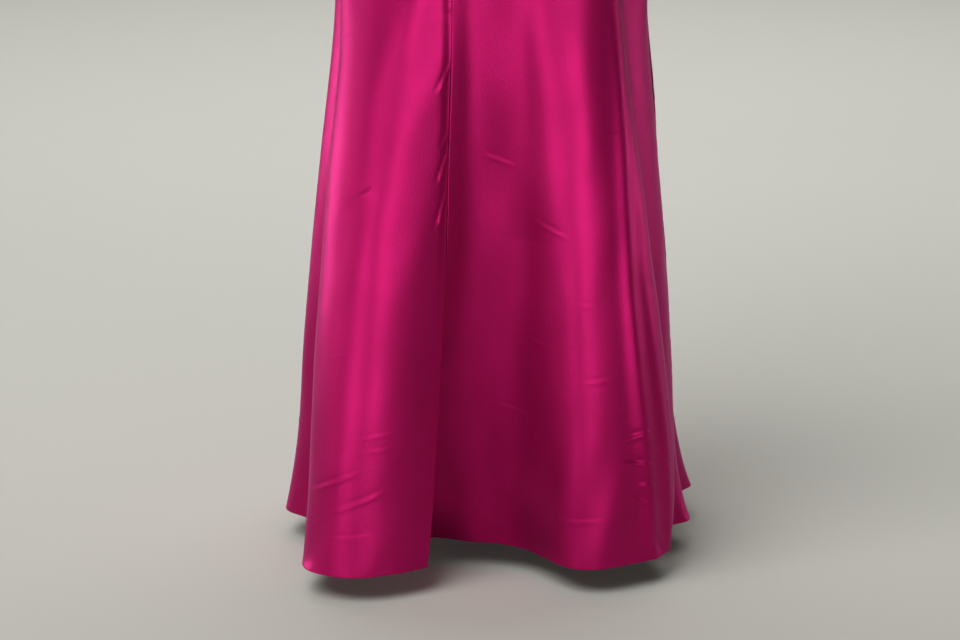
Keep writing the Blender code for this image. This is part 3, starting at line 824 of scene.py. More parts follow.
def closed_piece(
    name: str, points: np.ndarray, faces: list[list[int]], flat: np.ndarray,
    material: bpy.types.Material, turn: bool = True,
) -> bpy.types.Object:
    """A closed smooth mesh with a map for the weave.

    Args:
        name: the piece's name.
        points: its points.
        faces: which points each face has.
        flat: where each point lies in the flat cloth.
        material: its finish.
        turn: whether its faces still have to be turned outwards.

    Returns:
        The new object.
    """
    mesh = bpy.data.meshes.new(name)
    mesh.from_pydata(points.reshape(-1, 3).tolist(), [], faces)
    corner = np.empty(len(mesh.loops), dtype=np.int32)
    mesh.loops.foreach_get("vertex_index", corner)
    mesh.uv_layers.new(name="weave").data.foreach_set("uv", flat[corner].astype(np.float32).ravel())
    if turn:
        work = bmesh.new()
        work.from_mesh(mesh)
        bmesh.ops.recalc_face_normals(work, faces=work.faces)
        work.to_mesh(mesh)
        work.free()
    mesh.shade_smooth()
    return new_object(name, mesh, material)


def round_faces(grid: np.ndarray) -> list[list[int]]:
    """The faces between rings of numbered points, one ring in each row."""
    beside = np.roll(grid, -1, axis=1)
    return np.stack([grid[:-1], beside[:-1], beside[1:], grid[1:]], axis=-1).reshape(-1, 4).tolist()


def shell(
    name: str, outer: np.ndarray, inner: np.ndarray, flat: np.ndarray, material: bpy.types.Material
) -> bpy.types.Object:
    """A closed thin shell. Its inner face has every other row of its outer face.

    Args:
        name: the piece's name.
        outer: rows of points of the outer face, an odd number of rows.
        inner: points of the inner face at the same places.
        flat: where each point lies in the flat cloth, for the weave.
        material: the piece's finish.

    Returns:
        The new object.
    """
    rows, columns = outer.shape[:2]
    inside = inner[::2]
    front = np.arange(rows * columns).reshape(rows, columns)
    back = rows * columns + np.arange(inside.shape[0] * columns).reshape(-1, columns)
    faces = []
    for grid, turn in ((front, 1), (back, -1)):
        corners = np.stack([grid[:-1, :-1], grid[1:, :-1], grid[1:, 1:], grid[:-1, 1:]], axis=-1)
        faces += corners.reshape(-1, 4)[:, ::turn].tolist()
    for a, b in zip(range(columns), range(1, columns)):
        faces.append([front[0, a], front[0, b], back[0, b], back[0, a]])
        faces.append([front[-1, b], front[-1, a], back[-1, a], back[-1, b]])
    for k in range(inside.shape[0] - 1):
        j = 2 * k
        faces.append([front[j + 2, 0], front[j + 1, 0], front[j, 0], back[k, 0], back[k + 1, 0]])
        faces.append([front[j, -1], front[j + 1, -1], front[j + 2, -1], back[k + 1, -1], back[k, -1]])
    points = np.concatenate([outer.reshape(-1, 3), inside.reshape(-1, 3)])
    flat = np.concatenate([flat.reshape(-1, 2), flat[::2].reshape(-1, 2)])
    faces = [[int(v) for v in face] for face in faces]
    return closed_piece(name, points, faces, flat, material, turn=False)


def tube(
    name: str, rings: np.ndarray, wide: np.ndarray, run: np.ndarray, material: bpy.types.Material
) -> bpy.types.Object:
    """A closed tube through rings of points.

    Args:
        name: the piece's name.
        rings: rows of points, a row for each ring.
        wide: places across the flat cloth of a ring's points.
        run: places along it of the rings.
        material: its finish.

    Returns:
        The new object.
    """
    rows, count = rings.shape[:2]
    grid = np.arange(rows * count).reshape(rows, count)
    faces = [*round_faces(grid), grid[0].tolist(), grid[-1].tolist()]
    flat = np.stack(np.meshgrid(wide, run), axis=-1).reshape(-1, 2)
    return closed_piece(name, rings, faces, flat, material)


def stitches(
    name: str, starts: np.ndarray, ends: np.ndarray, normal: np.ndarray,
    material: bpy.types.Material, slot: Slot,
) -> bpy.types.Object:
    """Many short stitches as one piece. Each is a six-sided thread that dives in at both ends.

    Args:
        name: the piece's name.
        starts: where each stitch leaves the cloth.
        ends: where it goes back.
        normal: unit normals of the cloth there, on the stitches' side.
        material: its finish.
        slot: the material slot of that finish; not used.

    Returns:
        The new piece.
    """
    share, width, lift = (np.array(row) for row in (STITCH_SHARES, STITCH_WIDTHS, STITCH_LIFTS))
    turn = np.arange(THREAD_SIDES) * 2 * math.pi / THREAD_SIDES
    side = np.cross(normal, unit(ends - starts))
    spoke = np.cos(turn)[:, None] * normal[:, None] + np.sin(turn)[:, None] * side[:, None]
    middle = starts[:, None] + share[None, :, None] * (ends - starts)[:, None]
    middle = middle + normal[:, None] * (lift * STITCH_THICK)[None, :, None]
    points = middle[:, :, None] + (width * STITCH_THICK / 2)[None, :, None, None] * spoke[:, None]
    grid = np.arange(len(share) * THREAD_SIDES).reshape(len(share), THREAD_SIDES)
    one = [*round_faces(grid), grid[0, ::-1].tolist(), grid[-1].tolist()]
    faces = [[v + grid.size * k for v in face] for k in range(len(starts)) for face in one]
    piece = closed_piece(name, points, faces, points.reshape(-1, 3)[:, ::2], material)
    return declare(piece, Body.GOWN)


@dataclass
class Panel:
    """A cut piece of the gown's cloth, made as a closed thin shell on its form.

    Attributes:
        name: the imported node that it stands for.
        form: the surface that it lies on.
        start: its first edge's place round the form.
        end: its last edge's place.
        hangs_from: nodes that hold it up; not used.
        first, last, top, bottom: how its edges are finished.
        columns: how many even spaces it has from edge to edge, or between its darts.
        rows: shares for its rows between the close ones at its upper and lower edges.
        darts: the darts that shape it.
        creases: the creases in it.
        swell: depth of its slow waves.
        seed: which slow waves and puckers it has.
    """

    name: str
    form: Form
    start: float
    end: float
    hangs_from: tuple[str, ...]
    first: Edge = SEWN
    last: Edge = SEWN
    top: Edge = SEWN
    bottom: Edge = SEWN
    columns: int = 100
    rows: np.ndarray = field(default_factory=lambda: evenly(80))
    darts: tuple[Dart, ...] = ()
    creases: tuple[Crease, ...] = ()
    swell: float = 0.0006
    seed: int = 1

    def heights(self, along: np.ndarray) -> np.ndarray:
        """Heights of the rows at places round the form, along a new last axis.

        Args:
            along: the places.

        Returns:
            The heights, from the top row down.
        """
        top = self.form.top(along) - SEAM_GAP
        bottom = self.form.bottom(along) + (SEAM_GAP if self.bottom is SEWN else 0.0)
        near_top = np.array([*EDGE_STEPS, self.top.turned, self.top.turned + TURN_STEP])
        steps = np.arange(EDGE_STEPS[-1] + 0.003, self.bottom.turned - 0.002, 0.0032)
        near_bottom = np.array(
            [*EDGE_STEPS, *steps, self.bottom.turned, self.bottom.turned + TURN_STEP]
        )
        rows = self.rows
        if (len(near_top) + len(near_bottom) + len(rows)) % 2 == 0:
            rows = np.delete(rows, len(rows) // 2)
        down = layout(top - bottom, near_top, near_bottom, rows)
        return top[..., None] - down

    def grid(self) -> tuple[np.ndarray, np.ndarray]:
        """Where the panel's points lie.

        Returns:
            Their places round the form and their heights, in rows from top to bottom.
        """
        fine = np.linspace(self.start, self.end, 400)
        level = self.heights(fine).T
        lines = self.form.place(np.broadcast_to(fine, level.shape), level)
        run = travelled(lines, axis=1)
        middle = level.mean(axis=1)
        stations = [self.first.gap(middle)]
        for dart in self.darts:
            where = dart.place(middle)
            stations.append(np.array([np.interp(w, fine, r) for w, r in zip(where, run)]))
        stations.append(run[:, -1] - self.last.gap(middle))
        plain = np.array([*EDGE_STEPS, SEWN.turned, SEWN.turned + TURN_STEP])
        spans = []
        for k, (low, high) in enumerate(zip(stations, stations[1:])):
            shares = evenly(max(8, self.columns // (len(stations) - 1)))
            places = low[:, None] + layout(high - low, plain, plain, shares)
            spans.append(places if k == 0 else places[:, 1:])
        away = np.concatenate(spans, axis=1)
        along = np.array([np.interp(a, r, fine) for a, r in zip(away, run)])
        height = np.array([self.heights(a)[:, j] for j, a in enumerate(along)])
        return along, height

    def distances(self, points: np.ndarray) -> dict[str, np.ndarray]:
        """Distances of the panel's points from each of its edges, through the cloth."""
        across, down = travelled(points, axis=1), travelled(points)
        last, bottom = across[:, -1:] - across, down[-1:] - down
        return {"first": across, "last": last, "top": down, "bottom": bottom}

    def relief(self, along: np.ndarray, points: np.ndarray, away: dict[str, np.ndarray]) -> np.ndarray:
        """How far creases, slow waves and puckers move the cloth out of its smooth form.

        Args:
            along: the points' places round the form.
            points: the panel's points.
            away: their distances from each edge.

        Returns:
            A distance for each point.
        """
        normal = self.form.normal(along, points[..., 2])
        out = np.zeros(along.shape)
        for crease in self.creases:
            out += crease.lift(self.form, along, points, normal)
        slant = points[..., 2] + WAVE_SLANT * away["first"]
        slow = Wander(self.seed, WAVE_ACROSS).at(away["first"])
        slow = slow * Wander(self.seed + 50, WAVE_DOWN).at(slant)
        out += self.swell * slow * ease(away["top"] / WAVE_START)
        for k, (name, edge) in enumerate(self.edges().items()):
            if name in ("first", "last"):
                where, length = points[..., 2], PUCKER_DOWN
            else:
                where, length = away["first"], PUCKER_ACROSS
            wave = Wander(self.seed + 7 * k + 3, length).at(where)
            fuller = Wander(self.seed + 7 * k + 4, length * PUCKER_RUN).at(where)
            uneven = PUCKER_MEAN + PUCKER_SWING * fuller
            fade = np.exp(-((away[name] / PUCKER_REACH) ** 2))
            out += edge.pucker * wave * uneven * fade * edge.sewn(points[..., 2])
        return out

    def edges(self) -> dict[str, Edge]:
        """The panel's edges by name."""
        return {"first": self.first, "last": self.last, "top": self.top, "bottom": self.bottom}

    def build(self, material: bpy.types.Material) -> bpy.types.Object:
        """Args:
            material: the cloth.

        Returns:
            The new piece.
        """
        along, height = self.grid()
        points = self.form.place(along, height)
        away = self.distances(points)
        outer = self.relief(along, points, away)
        thick = np.full(along.shape, CLOTH)
        for name, edge in self.edges().items():
            inside = 1 - ease((away[name] - edge.turned) / TURN_STEP)
            thick = np.maximum(thick, CLOTH + TURNED * inside)
        inner = outer - thick
        groove = np.zeros(along.shape)
        rounded = np.zeros(along.shape)
        for name, edge in self.edges().items():
            sewn = edge.sewn(height)
            groove = np.maximum(groove, sewn * bite(away[name], GROOVE_WIDTH))
            rounded = np.maximum(rounded, (1 - sewn) * bite(away[name], EDGE_RADIUS))
        for dart in self.darts:
            span = (along - dart.place(height)) * np.pi / 180 * DART_RADIUS
            depth = ease((dart.height - height) / DART_FADE)
            groove = np.maximum(groove, depth * bite(np.abs(span), GROOVE_WIDTH))
        outer = outer - GROOVE_DEPTH * groove - EDGE_DROP * thick * rounded
        inner = inner + 0.5 * GROOVE_DEPTH * groove + EDGE_DROP * thick * rounded
        normal = self.form.normal(along, height)
        across = away["first"] - away["first"][:, -1:] / 2
        piece = shell(
            f"cloth_{self.name}",
            points + normal * outer[..., None],
            points + normal * inner[..., None],
            np.stack([across, -away["top"]], axis=-1),
            material,
        )
        declare(piece, Body.GOWN, self.name)
        return piece


class Panels:
    """Panels that are made together."""

    panels: list[Panel]

    def build(self, material: bpy.types.Material) -> list[bpy.types.Object]:
        """Makes the panels."""
        return [panel.build(material) for panel in self.panels]


class Skirt(Panels):
    """The four skirt panels, with the slit between the two front ones."""

    def __init__(self, figure: Figure) -> None:
        """Sets out the panels on the skirt's form.

        Args:
            figure: the sections under the skirt.
        """
        self.form = SkirtForm(figure)
        slit = Edge(turned=FACING, sewn_above=SLIT_TOP_Z)
        hem = Edge(turned=HEM_DEPTH, sewn_above=NOWHERE)
        # A tenth of the rows lie in the plain upper third.
        rows = np.interp(evenly(350), [0.0, 0.11, 1.0], [0.0, 0.33, 1.0])
        shared = {"form": self.form, "bottom": hem, "rows": rows, "swell": 0.0009}
        seams = [0.0, *(self.form.knots[name] for name in SEAMS), self.form.length]
        zip_edge = Edge(turned=ZIP_SEAM)
        self.panels = [
            Panel(
                "skirt_front_left", start=seams[0], end=seams[1],
                hangs_from=("bodice_front",), first=slit, columns=150,
                creases=FRONT_LEFT_CREASES + SIDE_CREASES, seed=11, **shared,
            ),
            Panel(
                "skirt_back_left", start=seams[1], end=seams[2],
                hangs_from=("bodice_back_left",), last=zip_edge, columns=130,
                creases=BACK_LEFT_CREASES, seed=12, **shared,
            ),
            Panel(
                "skirt_back_right", start=seams[2], end=seams[3],
                hangs_from=("bodice_back_right",), first=zip_edge, columns=112,
                creases=BACK_RIGHT_CREASES, seed=13, **shared,
            ),
            Panel(
                "skirt_front_right", start=seams[3], end=seams[4],
                hangs_from=("bodice_front",), last=slit, columns=118, creases=FRONT_RIGHT_CREASES,
                seed=14, **shared,
            ),
        ]  # fmt: skip


class Bodice(Panels):
    """The front, cut in one and shaped by darts, and the two backs on either side of the zip."""

    def __init__(self, figure: Figure) -> None:
        """Sets out the panels on the bodice's form.

        Args:
            figure: the sections under the bodice.
        """
        self.form = BodiceForm(figure)
        top = Edge(turned=TOP_TURN, sewn_above=NOWHERE)
        centre = Edge(turned=ZIP_SEAM, zipped=True)
        darts = (Dart(-33.0, -37.0, -0.268), Dart(33.0, 37.0, -0.268))
        back_dart = -0.275
        shared = {"form": self.form, "top": top, "rows": evenly(84), "swell": 0.0003}
        self.panels = [
            Panel(
                "bodice_front", start=-90.0, end=90.0,
                hangs_from=("strap_left", "strap_right"), columns=180, darts=darts,
                creases=BODICE_CREASES, seed=21, **shared,
            ),
            Panel(
                "bodice_back_left", start=90.0, end=180.0,
                hangs_from=("strap_left",), last=centre, columns=96,
                darts=(Dart(137.0, 137.0, back_dart),), seed=22, **shared,
            ),
            Panel(
                "bodice_back_right", start=180.0, end=270.0,
                hangs_from=("strap_right",), first=centre, columns=96,
                darts=(Dart(223.0, 223.0, back_dart),), seed=23, **shared,
            ),
        ]  # fmt: skip


@dataclass
class Straps:
    """Two narrow straps of folded cloth, sewn down inside the top edge at both ends.

    Attributes:
        form: the bodice's form.
        rings: how many rings of points each strap has.
        side: how many points go round each rounded side.
        across: how many lie across each flat face.
        seam: height of the seam down the inner face.
        seam_width: how far from its middle the seam has nearly died out.
        twist: how far a strap turns to and fro, in radians.
        wave: the usual distance between its turns.
        seed: which turns it has.
    """

    form: BodiceForm
    rings: int = 131
    side: int = 7
    across: int = 7
    seam: float = 0.0005
    seam_width: float = 0.0009
    twist: float = 0.035
    wave: float = 0.09
    seed: int = 31

    def tucked(self, angle: float, depth: float) -> tuple[np.ndarray, np.ndarray]:
        """A point of a strap's outer face inside the bodice, and the way along the cloth there."""
        where = np.array([angle])
        z = self.form.top(where) - depth
        normal = self.form.normal(where, z)[0]
        point = self.form.place(where, z)[0] - normal * (WALL + LAYER_GAP)
        return point, np.array([-normal[1], normal[0], 0.0])

    def path(self) -> tuple[np.ndarray, np.ndarray]:
        """Follows the left strap from its front end over the shoulder to its back end.

        Returns:
            Middle points of its outer face, and the way across it at each.
        """
        front = [self.tucked(STRAP_FRONT_ANGLE, d) for d in (STRAP_TUCK, STRAP_TUCK / 2, 0.0)]
        back = [self.tucked(STRAP_BACK_ANGLE, d) for d in (0.0, STRAP_TUCK / 2, STRAP_TUCK)]
        free = [np.array(row[1:]) for row in STRAP_PATH]
        points = np.array([p for p, _ in front] + free + [p for p, _ in back])
        knots = travelled(points)
        where = np.linspace(0.0, knots[-1], self.rings)
        share = np.clip((where - knots[2]) / (knots[-3] - knots[2]), 0.0, 1.0)[:, None]
        to_back, to_front = ease((share - 0.5) * 2), ease((0.5 - share) * 2)
        over = np.array([1.0, 0.0, 0.0])
        across = to_front * front[0][1] - to_back * back[0][1] + (1 - to_front - to_back) * over
        return SmoothCurve(knots, points).at(where), unit(across)

    def build(self, material: bpy.types.Material) -> list[bpy.types.Object]:
        """Makes both straps.

        Args:
            material: the cloth.

        Returns:
            The two pieces.
        """
        path, across = self.path()
        up = unit(np.cross(across, np.gradient(path, axis=0)))
        up *= np.sign(up[len(up) // 2, 2])
        run = travelled(path)
        half, radius = STRAP_WIDTH / 2, STRAP_THICK / 2
        turn = np.linspace(-math.pi / 2, math.pi / 2, self.side)
        flat_part = np.linspace(-1.0, 1.0, self.across + 2)[1:-1] * (half - radius)
        # Round the strap: its outer face, one side, its inner face with the seam, and the other side.
        wide = np.concatenate([flat_part, half - radius + radius * np.cos(turn[::-1])])
        high = np.concatenate([np.zeros(self.across), radius * (np.sin(turn[::-1]) - 1)])
        wide = np.concatenate([wide, flat_part[::-1], -(half - radius) - radius * np.cos(turn)])
        seam = self.seam * np.exp(-((flat_part[::-1] / self.seam_width) ** 2))
        high = np.concatenate([high, -STRAP_THICK + seam, radius * (np.sin(turn) - 1)])
        pieces = []
        for name, side in (("strap_left", 1.0), ("strap_right", -1.0)):
            body = Wander(self.seed + int(side), self.wave).at(run)[:, None]
            twist = self.twist * body * np.sin(math.pi * run / run[-1])[:, None]
            ring = path[:, None] + across[:, None] * wide[None, :, None]
            ring = ring + up[:, None] * (high + twist * wide)[..., None]
            piece = tube(f"cloth_{name}", ring * np.array([side, 1.0, 1.0]), wide, run, material)
            declare(piece, Body.GOWN, name)
            pieces.append(piece)
        return pieces


# ---------------------------------------------------------------- the zip


@dataclass
class Zip:
    """The closed zip behind the centre back seam: its tapes, coils and stitches. Its slider and pull
    are made apart.

    Attributes:
        bodice: the bodice's form.
        skirt: the skirt's form.
        tape: thickness of a tape.
        tape_drop: how far the tapes end below the top edge.
        tape_gap: how far they stay from the panels' edges.
        tape_grid: how many rows of points each has, and how many points in a row.
        pitch: distance from turn to turn of a coil.
        coil_ends: how far the coils end above the tapes' lower ends and below the top edge.
        coil_middle: how far a coil's middle lies from the panels' edges.
        coil_radius: how far its wire swings to each side.
        coil_depth: how deep its wire lies behind the tape, and how far it swings in depth.
        wire: radius of its wire.
        wire_sides: how many sides its wire has.
        turn_steps: how many rings of points a turn has.
        stitch_rows: how far each row of stitches lies from the seam.
        stitch_ends: how far the rows end below the top edge and above the tapes' lower ends.
        stitch_step: distance from stitch to stitch.
        stitch_length: how long each one is.
    """

    bodice: BodiceForm
    skirt: SkirtForm
    tape: float = 0.0007
    tape_drop: float = 0.0006
    tape_gap: float = 0.0002
    tape_grid: tuple[int, int] = (161, 13)
    pitch: float = 0.0016
    coil_ends: tuple[float, float] = (0.004, 0.003)
    coil_middle: float = 0.0009
    coil_radius: float = 0.0008
    coil_depth: tuple[float, float] = (0.00030, 0.00006)
    wire: float = 0.00021
    wire_sides: int = 5
    turn_steps: int = 8
    stitch_rows: tuple[float, ...] = (-0.0102, -0.0042, 0.0042, 0.0102)
    stitch_ends: tuple[float, float] = (0.004, 0.006)
    stitch_step: float = 0.0034
    stitch_length: float = 0.0024

    def top(self, drop: float) -> float:
        """A height this far below the top edge at the centre back."""
        return float(self.bodice.top(np.array(180.0))) - drop

    def behind(self, away: np.ndarray, z: np.ndarray, depth: float) -> tuple[np.ndarray, np.ndarray]:
        """Points behind the outside of the back.

        Args:
            away: distances from the seam, towards the wearer's left, in rows.
            z: heights of the rows, in the same shape.
            depth: how far inside the outer face the points lie.

        Returns:
            The points, and their normals.
        """
        upper = z > WAIST_Z
        half_width = self.bodice.figure.curves[0].at(-z)
        angle = 180.0 - np.degrees(away / half_width)
        middle = self.skirt.knots["centre back"]
        ends = [self.skirt.place(np.full(z.shape, middle + d), z) for d in (-TAPE_WIDTH, TAPE_WIDTH)]
        stretch = 2 * TAPE_WIDTH / np.linalg.norm(ends[1] - ends[0], axis=-1)
        along = middle - away * stretch
        place, normal = (
            np.where(upper[..., None], high, low)
            for high, low in (
                (self.bodice.place(angle, z), self.skirt.place(along, z)),
                (self.bodice.normal(angle, z), self.skirt.normal(along, z)),
            )
        )
        return place - normal * depth, normal

    def build_tapes(self, material: bpy.types.Material) -> list[bpy.types.Object]:
        """Makes the two woven tapes.

        Args:
            material: the tape's finish.

        Returns:
            The two pieces.
        """
        top = self.top(self.tape_drop)
        rows = np.linspace(top, ZIP_END_Z, self.tape_grid[0])
        edge = Edge(zipped=True).gap(rows)[:, None] + self.tape_gap
        shares = np.linspace(0.0, 1.0, self.tape_grid[1])
        pieces = []
        for name, side in (("left", 1.0), ("right", -1.0)):
            away = (edge + shares * (TAPE_WIDTH - edge)) * side
            away = away[:, ::-1] if side > 0 else away
            z = np.broadcast_to(rows[:, None], away.shape)
            points, normal = self.behind(away, z, WALL + LAYER_GAP)
            flat = np.stack([away, z], axis=-1)
            piece = shell(f"cloth_zip_tape_{name}", points, points - normal * self.tape, flat, material)
            declare(piece, Body.GOWN, f"zip_tape_{name}")
            pieces.append(piece)
        return pieces

    def build_coils(self, material: bpy.types.Material) -> bpy.types.Object:
        """Makes the two meshed coils, one closed tube on each side of the seam.

        Args:
            material: the coils' finish.

        Returns:
            The one piece that holds both.
        """
        low, high = ZIP_END_Z + self.coil_ends[0], self.top(self.coil_ends[1])
        turns = int((high - low) / self.pitch)
        z = np.linspace(low, high, turns * self.turn_steps + 1)
        swing = np.linspace(0.0, 2 * math.pi * turns, len(z))
        spoke = np.arange(self.wire_sides) * 2 * math.pi / self.wire_sides
        parts = []
        for side in (1.0, -1.0):
            phase = swing + (0.0 if side > 0 else math.pi)
            middle = Edge(zipped=True).gap(z) + self.coil_middle
            away = side * (middle - self.coil_radius * np.cos(phase))
            depth = WALL + LAYER_GAP + self.tape + self.coil_depth[0]
            depth = depth + self.coil_depth[1] * np.sin(phase)
            points, normal = self.behind(away, z, 0.0)
            points = points - normal * depth[:, None]
            way = unit(np.gradient(points, axis=0))
            across = unit(np.cross(normal, way))
            up = np.cross(way, across)
            ring = np.cos(spoke)[:, None] * up[:, None] + np.sin(spoke)[:, None] * across[:, None]
            rings = points[:, None] + self.wire * ring
            parts.append(tube("coil", rings, spoke * self.wire, z, material))
        select(parts)
        bpy.ops.object.join()
        piece = parts[0]
        piece.name = piece.data.name = "zip_coils"
        return declare(piece, Body.GOWN)

    def build_stitches(self, material: bpy.types.Material) -> bpy.types.Object:
        """Makes the two rows of stitches down each tape as one piece.

        Args:
            material: the thread.

        Returns:
            The piece.
        """
        z = np.arange(
            self.top(self.stitch_ends[0]), ZIP_END_Z + self.stitch_ends[1], -self.stitch_step
        )
        starts, ends, normals = [], [], []
        for away in self.stitch_rows:
            for rows, kept in ((z, starts), (z - self.stitch_length, ends)):
                points, normal = self.behind(np.full(z.shape, away), rows, WALL + LAYER_GAP + self.tape)
                kept.append(points)
            normals.append(-normal)
        lines = (np.concatenate(part) for part in (starts, ends, normals))
        return stitches("zip_stitches", *lines, material, Slot.TAPE)


@dataclass
class HemStitches:
    """The row of slanting hand stitches inside the skirt, over the top of the turned hem.

    Attributes:
        form: the skirt's form.
        step: distance from stitch to stitch.
        length: how long each one is.
        slant: how far its upper end lies along the hem, as a share of its length.
        low: how far below the top of the turned hem it starts.
        rise: how far up it reaches.
        clear: how far the row stays from the seams and the slit's lower edge.
        end: how far it stays from the slit's upper edge.
        lift: how far it stands off the cloth.
    """

    form: SkirtForm
    step: float = 0.0085
    length: float = 0.0052
    slant: float = 0.6
    low: float = 0.0016
    rise: float = 0.0040
    clear: float = 0.006
    end: float = 0.01
    lift: float = 0.0003

    def build(self, material: bpy.types.Material) -> bpy.types.Object:
        """Makes the stitches.

        Args:
            material: the thread.

        Returns:
            The one piece that holds them all.
        """
        along = np.arange(self.clear, self.form.length - self.end, self.step)
        seams = np.array([self.form.knots[name] for name in SEAMS])
        along = along[np.abs(along[:, None] - seams).min(axis=1) > self.clear]
        low = np.full(along.shape, HEM_Z + HEM_DEPTH - self.low)
        inside = CLOTH + 0.5 * TURNED
        ends = []
        for where, z in ((along, low), (along + self.length * self.slant, low + self.rise)):
            normal = self.form.normal(where, z)
            ends.append(self.form.place(where, z) - normal * (inside + self.lift))
        return stitches("hem_stitches", *ends, -normal, material, Slot.SATIN)


@dataclass
class Metalwork:
    """The slider and its pull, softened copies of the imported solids.

    Attributes:
        merge: how close two points are joined.
        flat: angle in degrees under which two faces become one.
        rounding: how wide the rounded edges are.
        sharp: angle over which an edge is rounded.
        smooth: angle under which two faces are shaded as one.
    """

    merge: float = 0.00001
    flat: float = 4.0
    rounding: float = 0.00016
    sharp: float = 30.0
    smooth: float = 35.0

    def build(self, node: str, body: Body, material: bpy.types.Material) -> bpy.types.Object:
        """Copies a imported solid, joins its loose faces and rounds its edges.

        Args:
            node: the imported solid.
            body: the body that it rides on.
            material: its finish.

        Returns:
            The new piece.
        """
        mesh = bpy.data.objects[node].data.copy()
        mesh.materials.clear()
        piece = new_object(f"metal_{node}", mesh, material)
        select([piece])
        bpy.ops.object.mode_set(mode="EDIT")
        bpy.ops.mesh.select_all(action="SELECT")
        bpy.ops.mesh.remove_doubles(threshold=self.merge)
        bpy.ops.mesh.dissolve_limited(angle_limit=math.radians(self.flat))
        bpy.ops.object.mode_set(mode="OBJECT")
        soft = piece.modifiers.new("rounded edges", "BEVEL")
        soft.width, soft.segments, soft.limit_method = self.rounding, 2, "ANGLE"
        soft.angle_limit = math.radians(self.sharp)
        soft.use_clamp_overlap = True
        bpy.ops.object.modifier_apply(modifier=soft.name)
        bpy.ops.object.shade_smooth_by_angle(angle=math.radians(self.smooth))
        return declare(piece, body, node)


# ---------------------------------------------------------------- finishes


class Tree:
    """A node tree, with short calls for adding and joining nodes."""

    def __init__(self, tree: bpy.types.NodeTree) -> None:
        """Keeps the tree."""
        self.tree = tree

    def feed(self, node: bpy.types.Node, values: dict) -> bpy.types.Node:
        """Sets a node's inputs.

        Args:
            node: the node.
            values: values, or other nodes' outputs, for its inputs by name or place.

        Returns:
            The same node.
        """
        for key, value in values.items():
            if isinstance(value, bpy.types.NodeSocket):
                self.tree.links.new(value, node.inputs[key])
            else:
                node.inputs[key].default_value = value
        return node

    def add(self, kind: str, values: dict | None = None, **settings: object) -> bpy.types.Node:
        """Adds a node.

        Args:
            kind: its type.
            values: values or links for its inputs, by name or place.
            **settings: its own properties.

        Returns:
            The node.
        """
        node = self.tree.nodes.new(kind)
        for name, value in settings.items():
            setattr(node, name, value)
        return self.feed(node, values or {})

    def blend(self, first: object, second: object, factor: object) -> bpy.types.NodeSocket:
        """Mixes two colours."""
        values = {0: factor, 6: first, 7: second}
        return self.add("ShaderNodeMix", values, data_type="RGBA").outputs[2]

    def math(self, operation: str, first: object, second: object = 0.0) -> bpy.types.NodeSocket:
        """Joins two values by one operation."""
        return self.add("ShaderNodeMath", {0: first, 1: second}, operation=operation).outputs[0]

    def spread(self, value: object, low: float, high: float) -> bpy.types.NodeSocket:
        """Maps 0..1 to a range."""
        return self.add("ShaderNodeMapRange", {0: value, 3: low, 4: high}).outputs[0]

    def noise(self, place: object, stretch: tuple[float, ...], detail: float) -> bpy.types.NodeSocket:
        """Noise with drawn-out grains, by how many lie in a metre each way."""
        moved = self.add("ShaderNodeVectorMath", {0: place, 1: stretch}, operation="MULTIPLY")
        values = {"Vector": moved.outputs[0], "Scale": 1.0, "Detail": detail}
        return self.add("ShaderNodeTexNoise", values).outputs["Fac"]


def new_material(name: str) -> tuple[bpy.types.Material, Tree, bpy.types.Node]:
    """A new material, with its node tree and its Principled shader."""
    made = bpy.data.materials.new(name)
    made.use_nodes = True
    return made, Tree(made.node_tree), made.node_tree.nodes["Principled BSDF"]


def woven_group() -> bpy.types.NodeTree:
    """A node group for woven threads: their height, and the slow unevenness of the cloth.

    Its coordinates are metres across and down the cloth.

    Returns:
        The group's tree.
    """
    group = bpy.data.node_groups.new("woven threads", "ShaderNodeTree")
    for name, kind, way, value in (
        ("Place", "NodeSocketVector", "INPUT", None),
        ("Threads", "NodeSocketFloat", "INPUT", 3000.0),
        ("Float length", "NodeSocketFloat", "INPUT", 5.0),
        ("Height", "NodeSocketFloat", "OUTPUT", None),
        ("Grain", "NodeSocketFloat", "OUTPUT", None),
        ("Streaks", "NodeSocketFloat", "OUTPUT", None),
        ("Mottle", "NodeSocketFloat", "OUTPUT", None),
    ):
        socket = group.interface.new_socket(name, in_out=way, socket_type=kind)
        if value is not None:
            socket.default_value = value
    tree = Tree(group)
    start = tree.add("NodeGroupInput")
    end = tree.add("NodeGroupOutput")
    place, threads, long = (start.outputs[k] for k in range(3))
    across = tree.math("DIVIDE", threads, long)
    stretched = tree.add("ShaderNodeCombineXYZ", {0: threads, 1: across, 2: 1.0})
    scaled = tree.add("ShaderNodeVectorMath", {0: place, 1: stretched.outputs[0]}, operation="MULTIPLY")
    values = {"Vector": scaled.outputs[0], "Scale": 1.0, "Randomness": 0.7}
    floats = tree.add("ShaderNodeTexVoronoi", values)
    height = tree.math("SUBTRACT", 1.0, floats.outputs["Distance"])
    weft = tree.noise(place, (90.0, 1300.0, 1.0), 3.0)
    warp = tree.noise(place, (1300.0, 60.0, 1.0), 3.0)
    streaks = tree.math("MULTIPLY", tree.math("ADD", weft, warp), 0.5)
    values = {"Vector": place, "Scale": 14.0, "Detail": 4.0, "Roughness": 0.6}
    mottle = tree.add("ShaderNodeTexNoise", values).outputs["Fac"]
    grain = tree.noise(place, (620.0, 190.0, 1.0), 4.0)
    tree.feed(end, {"Height": height, "Grain": grain, "Streaks": streaks, "Mottle": mottle})
    return group


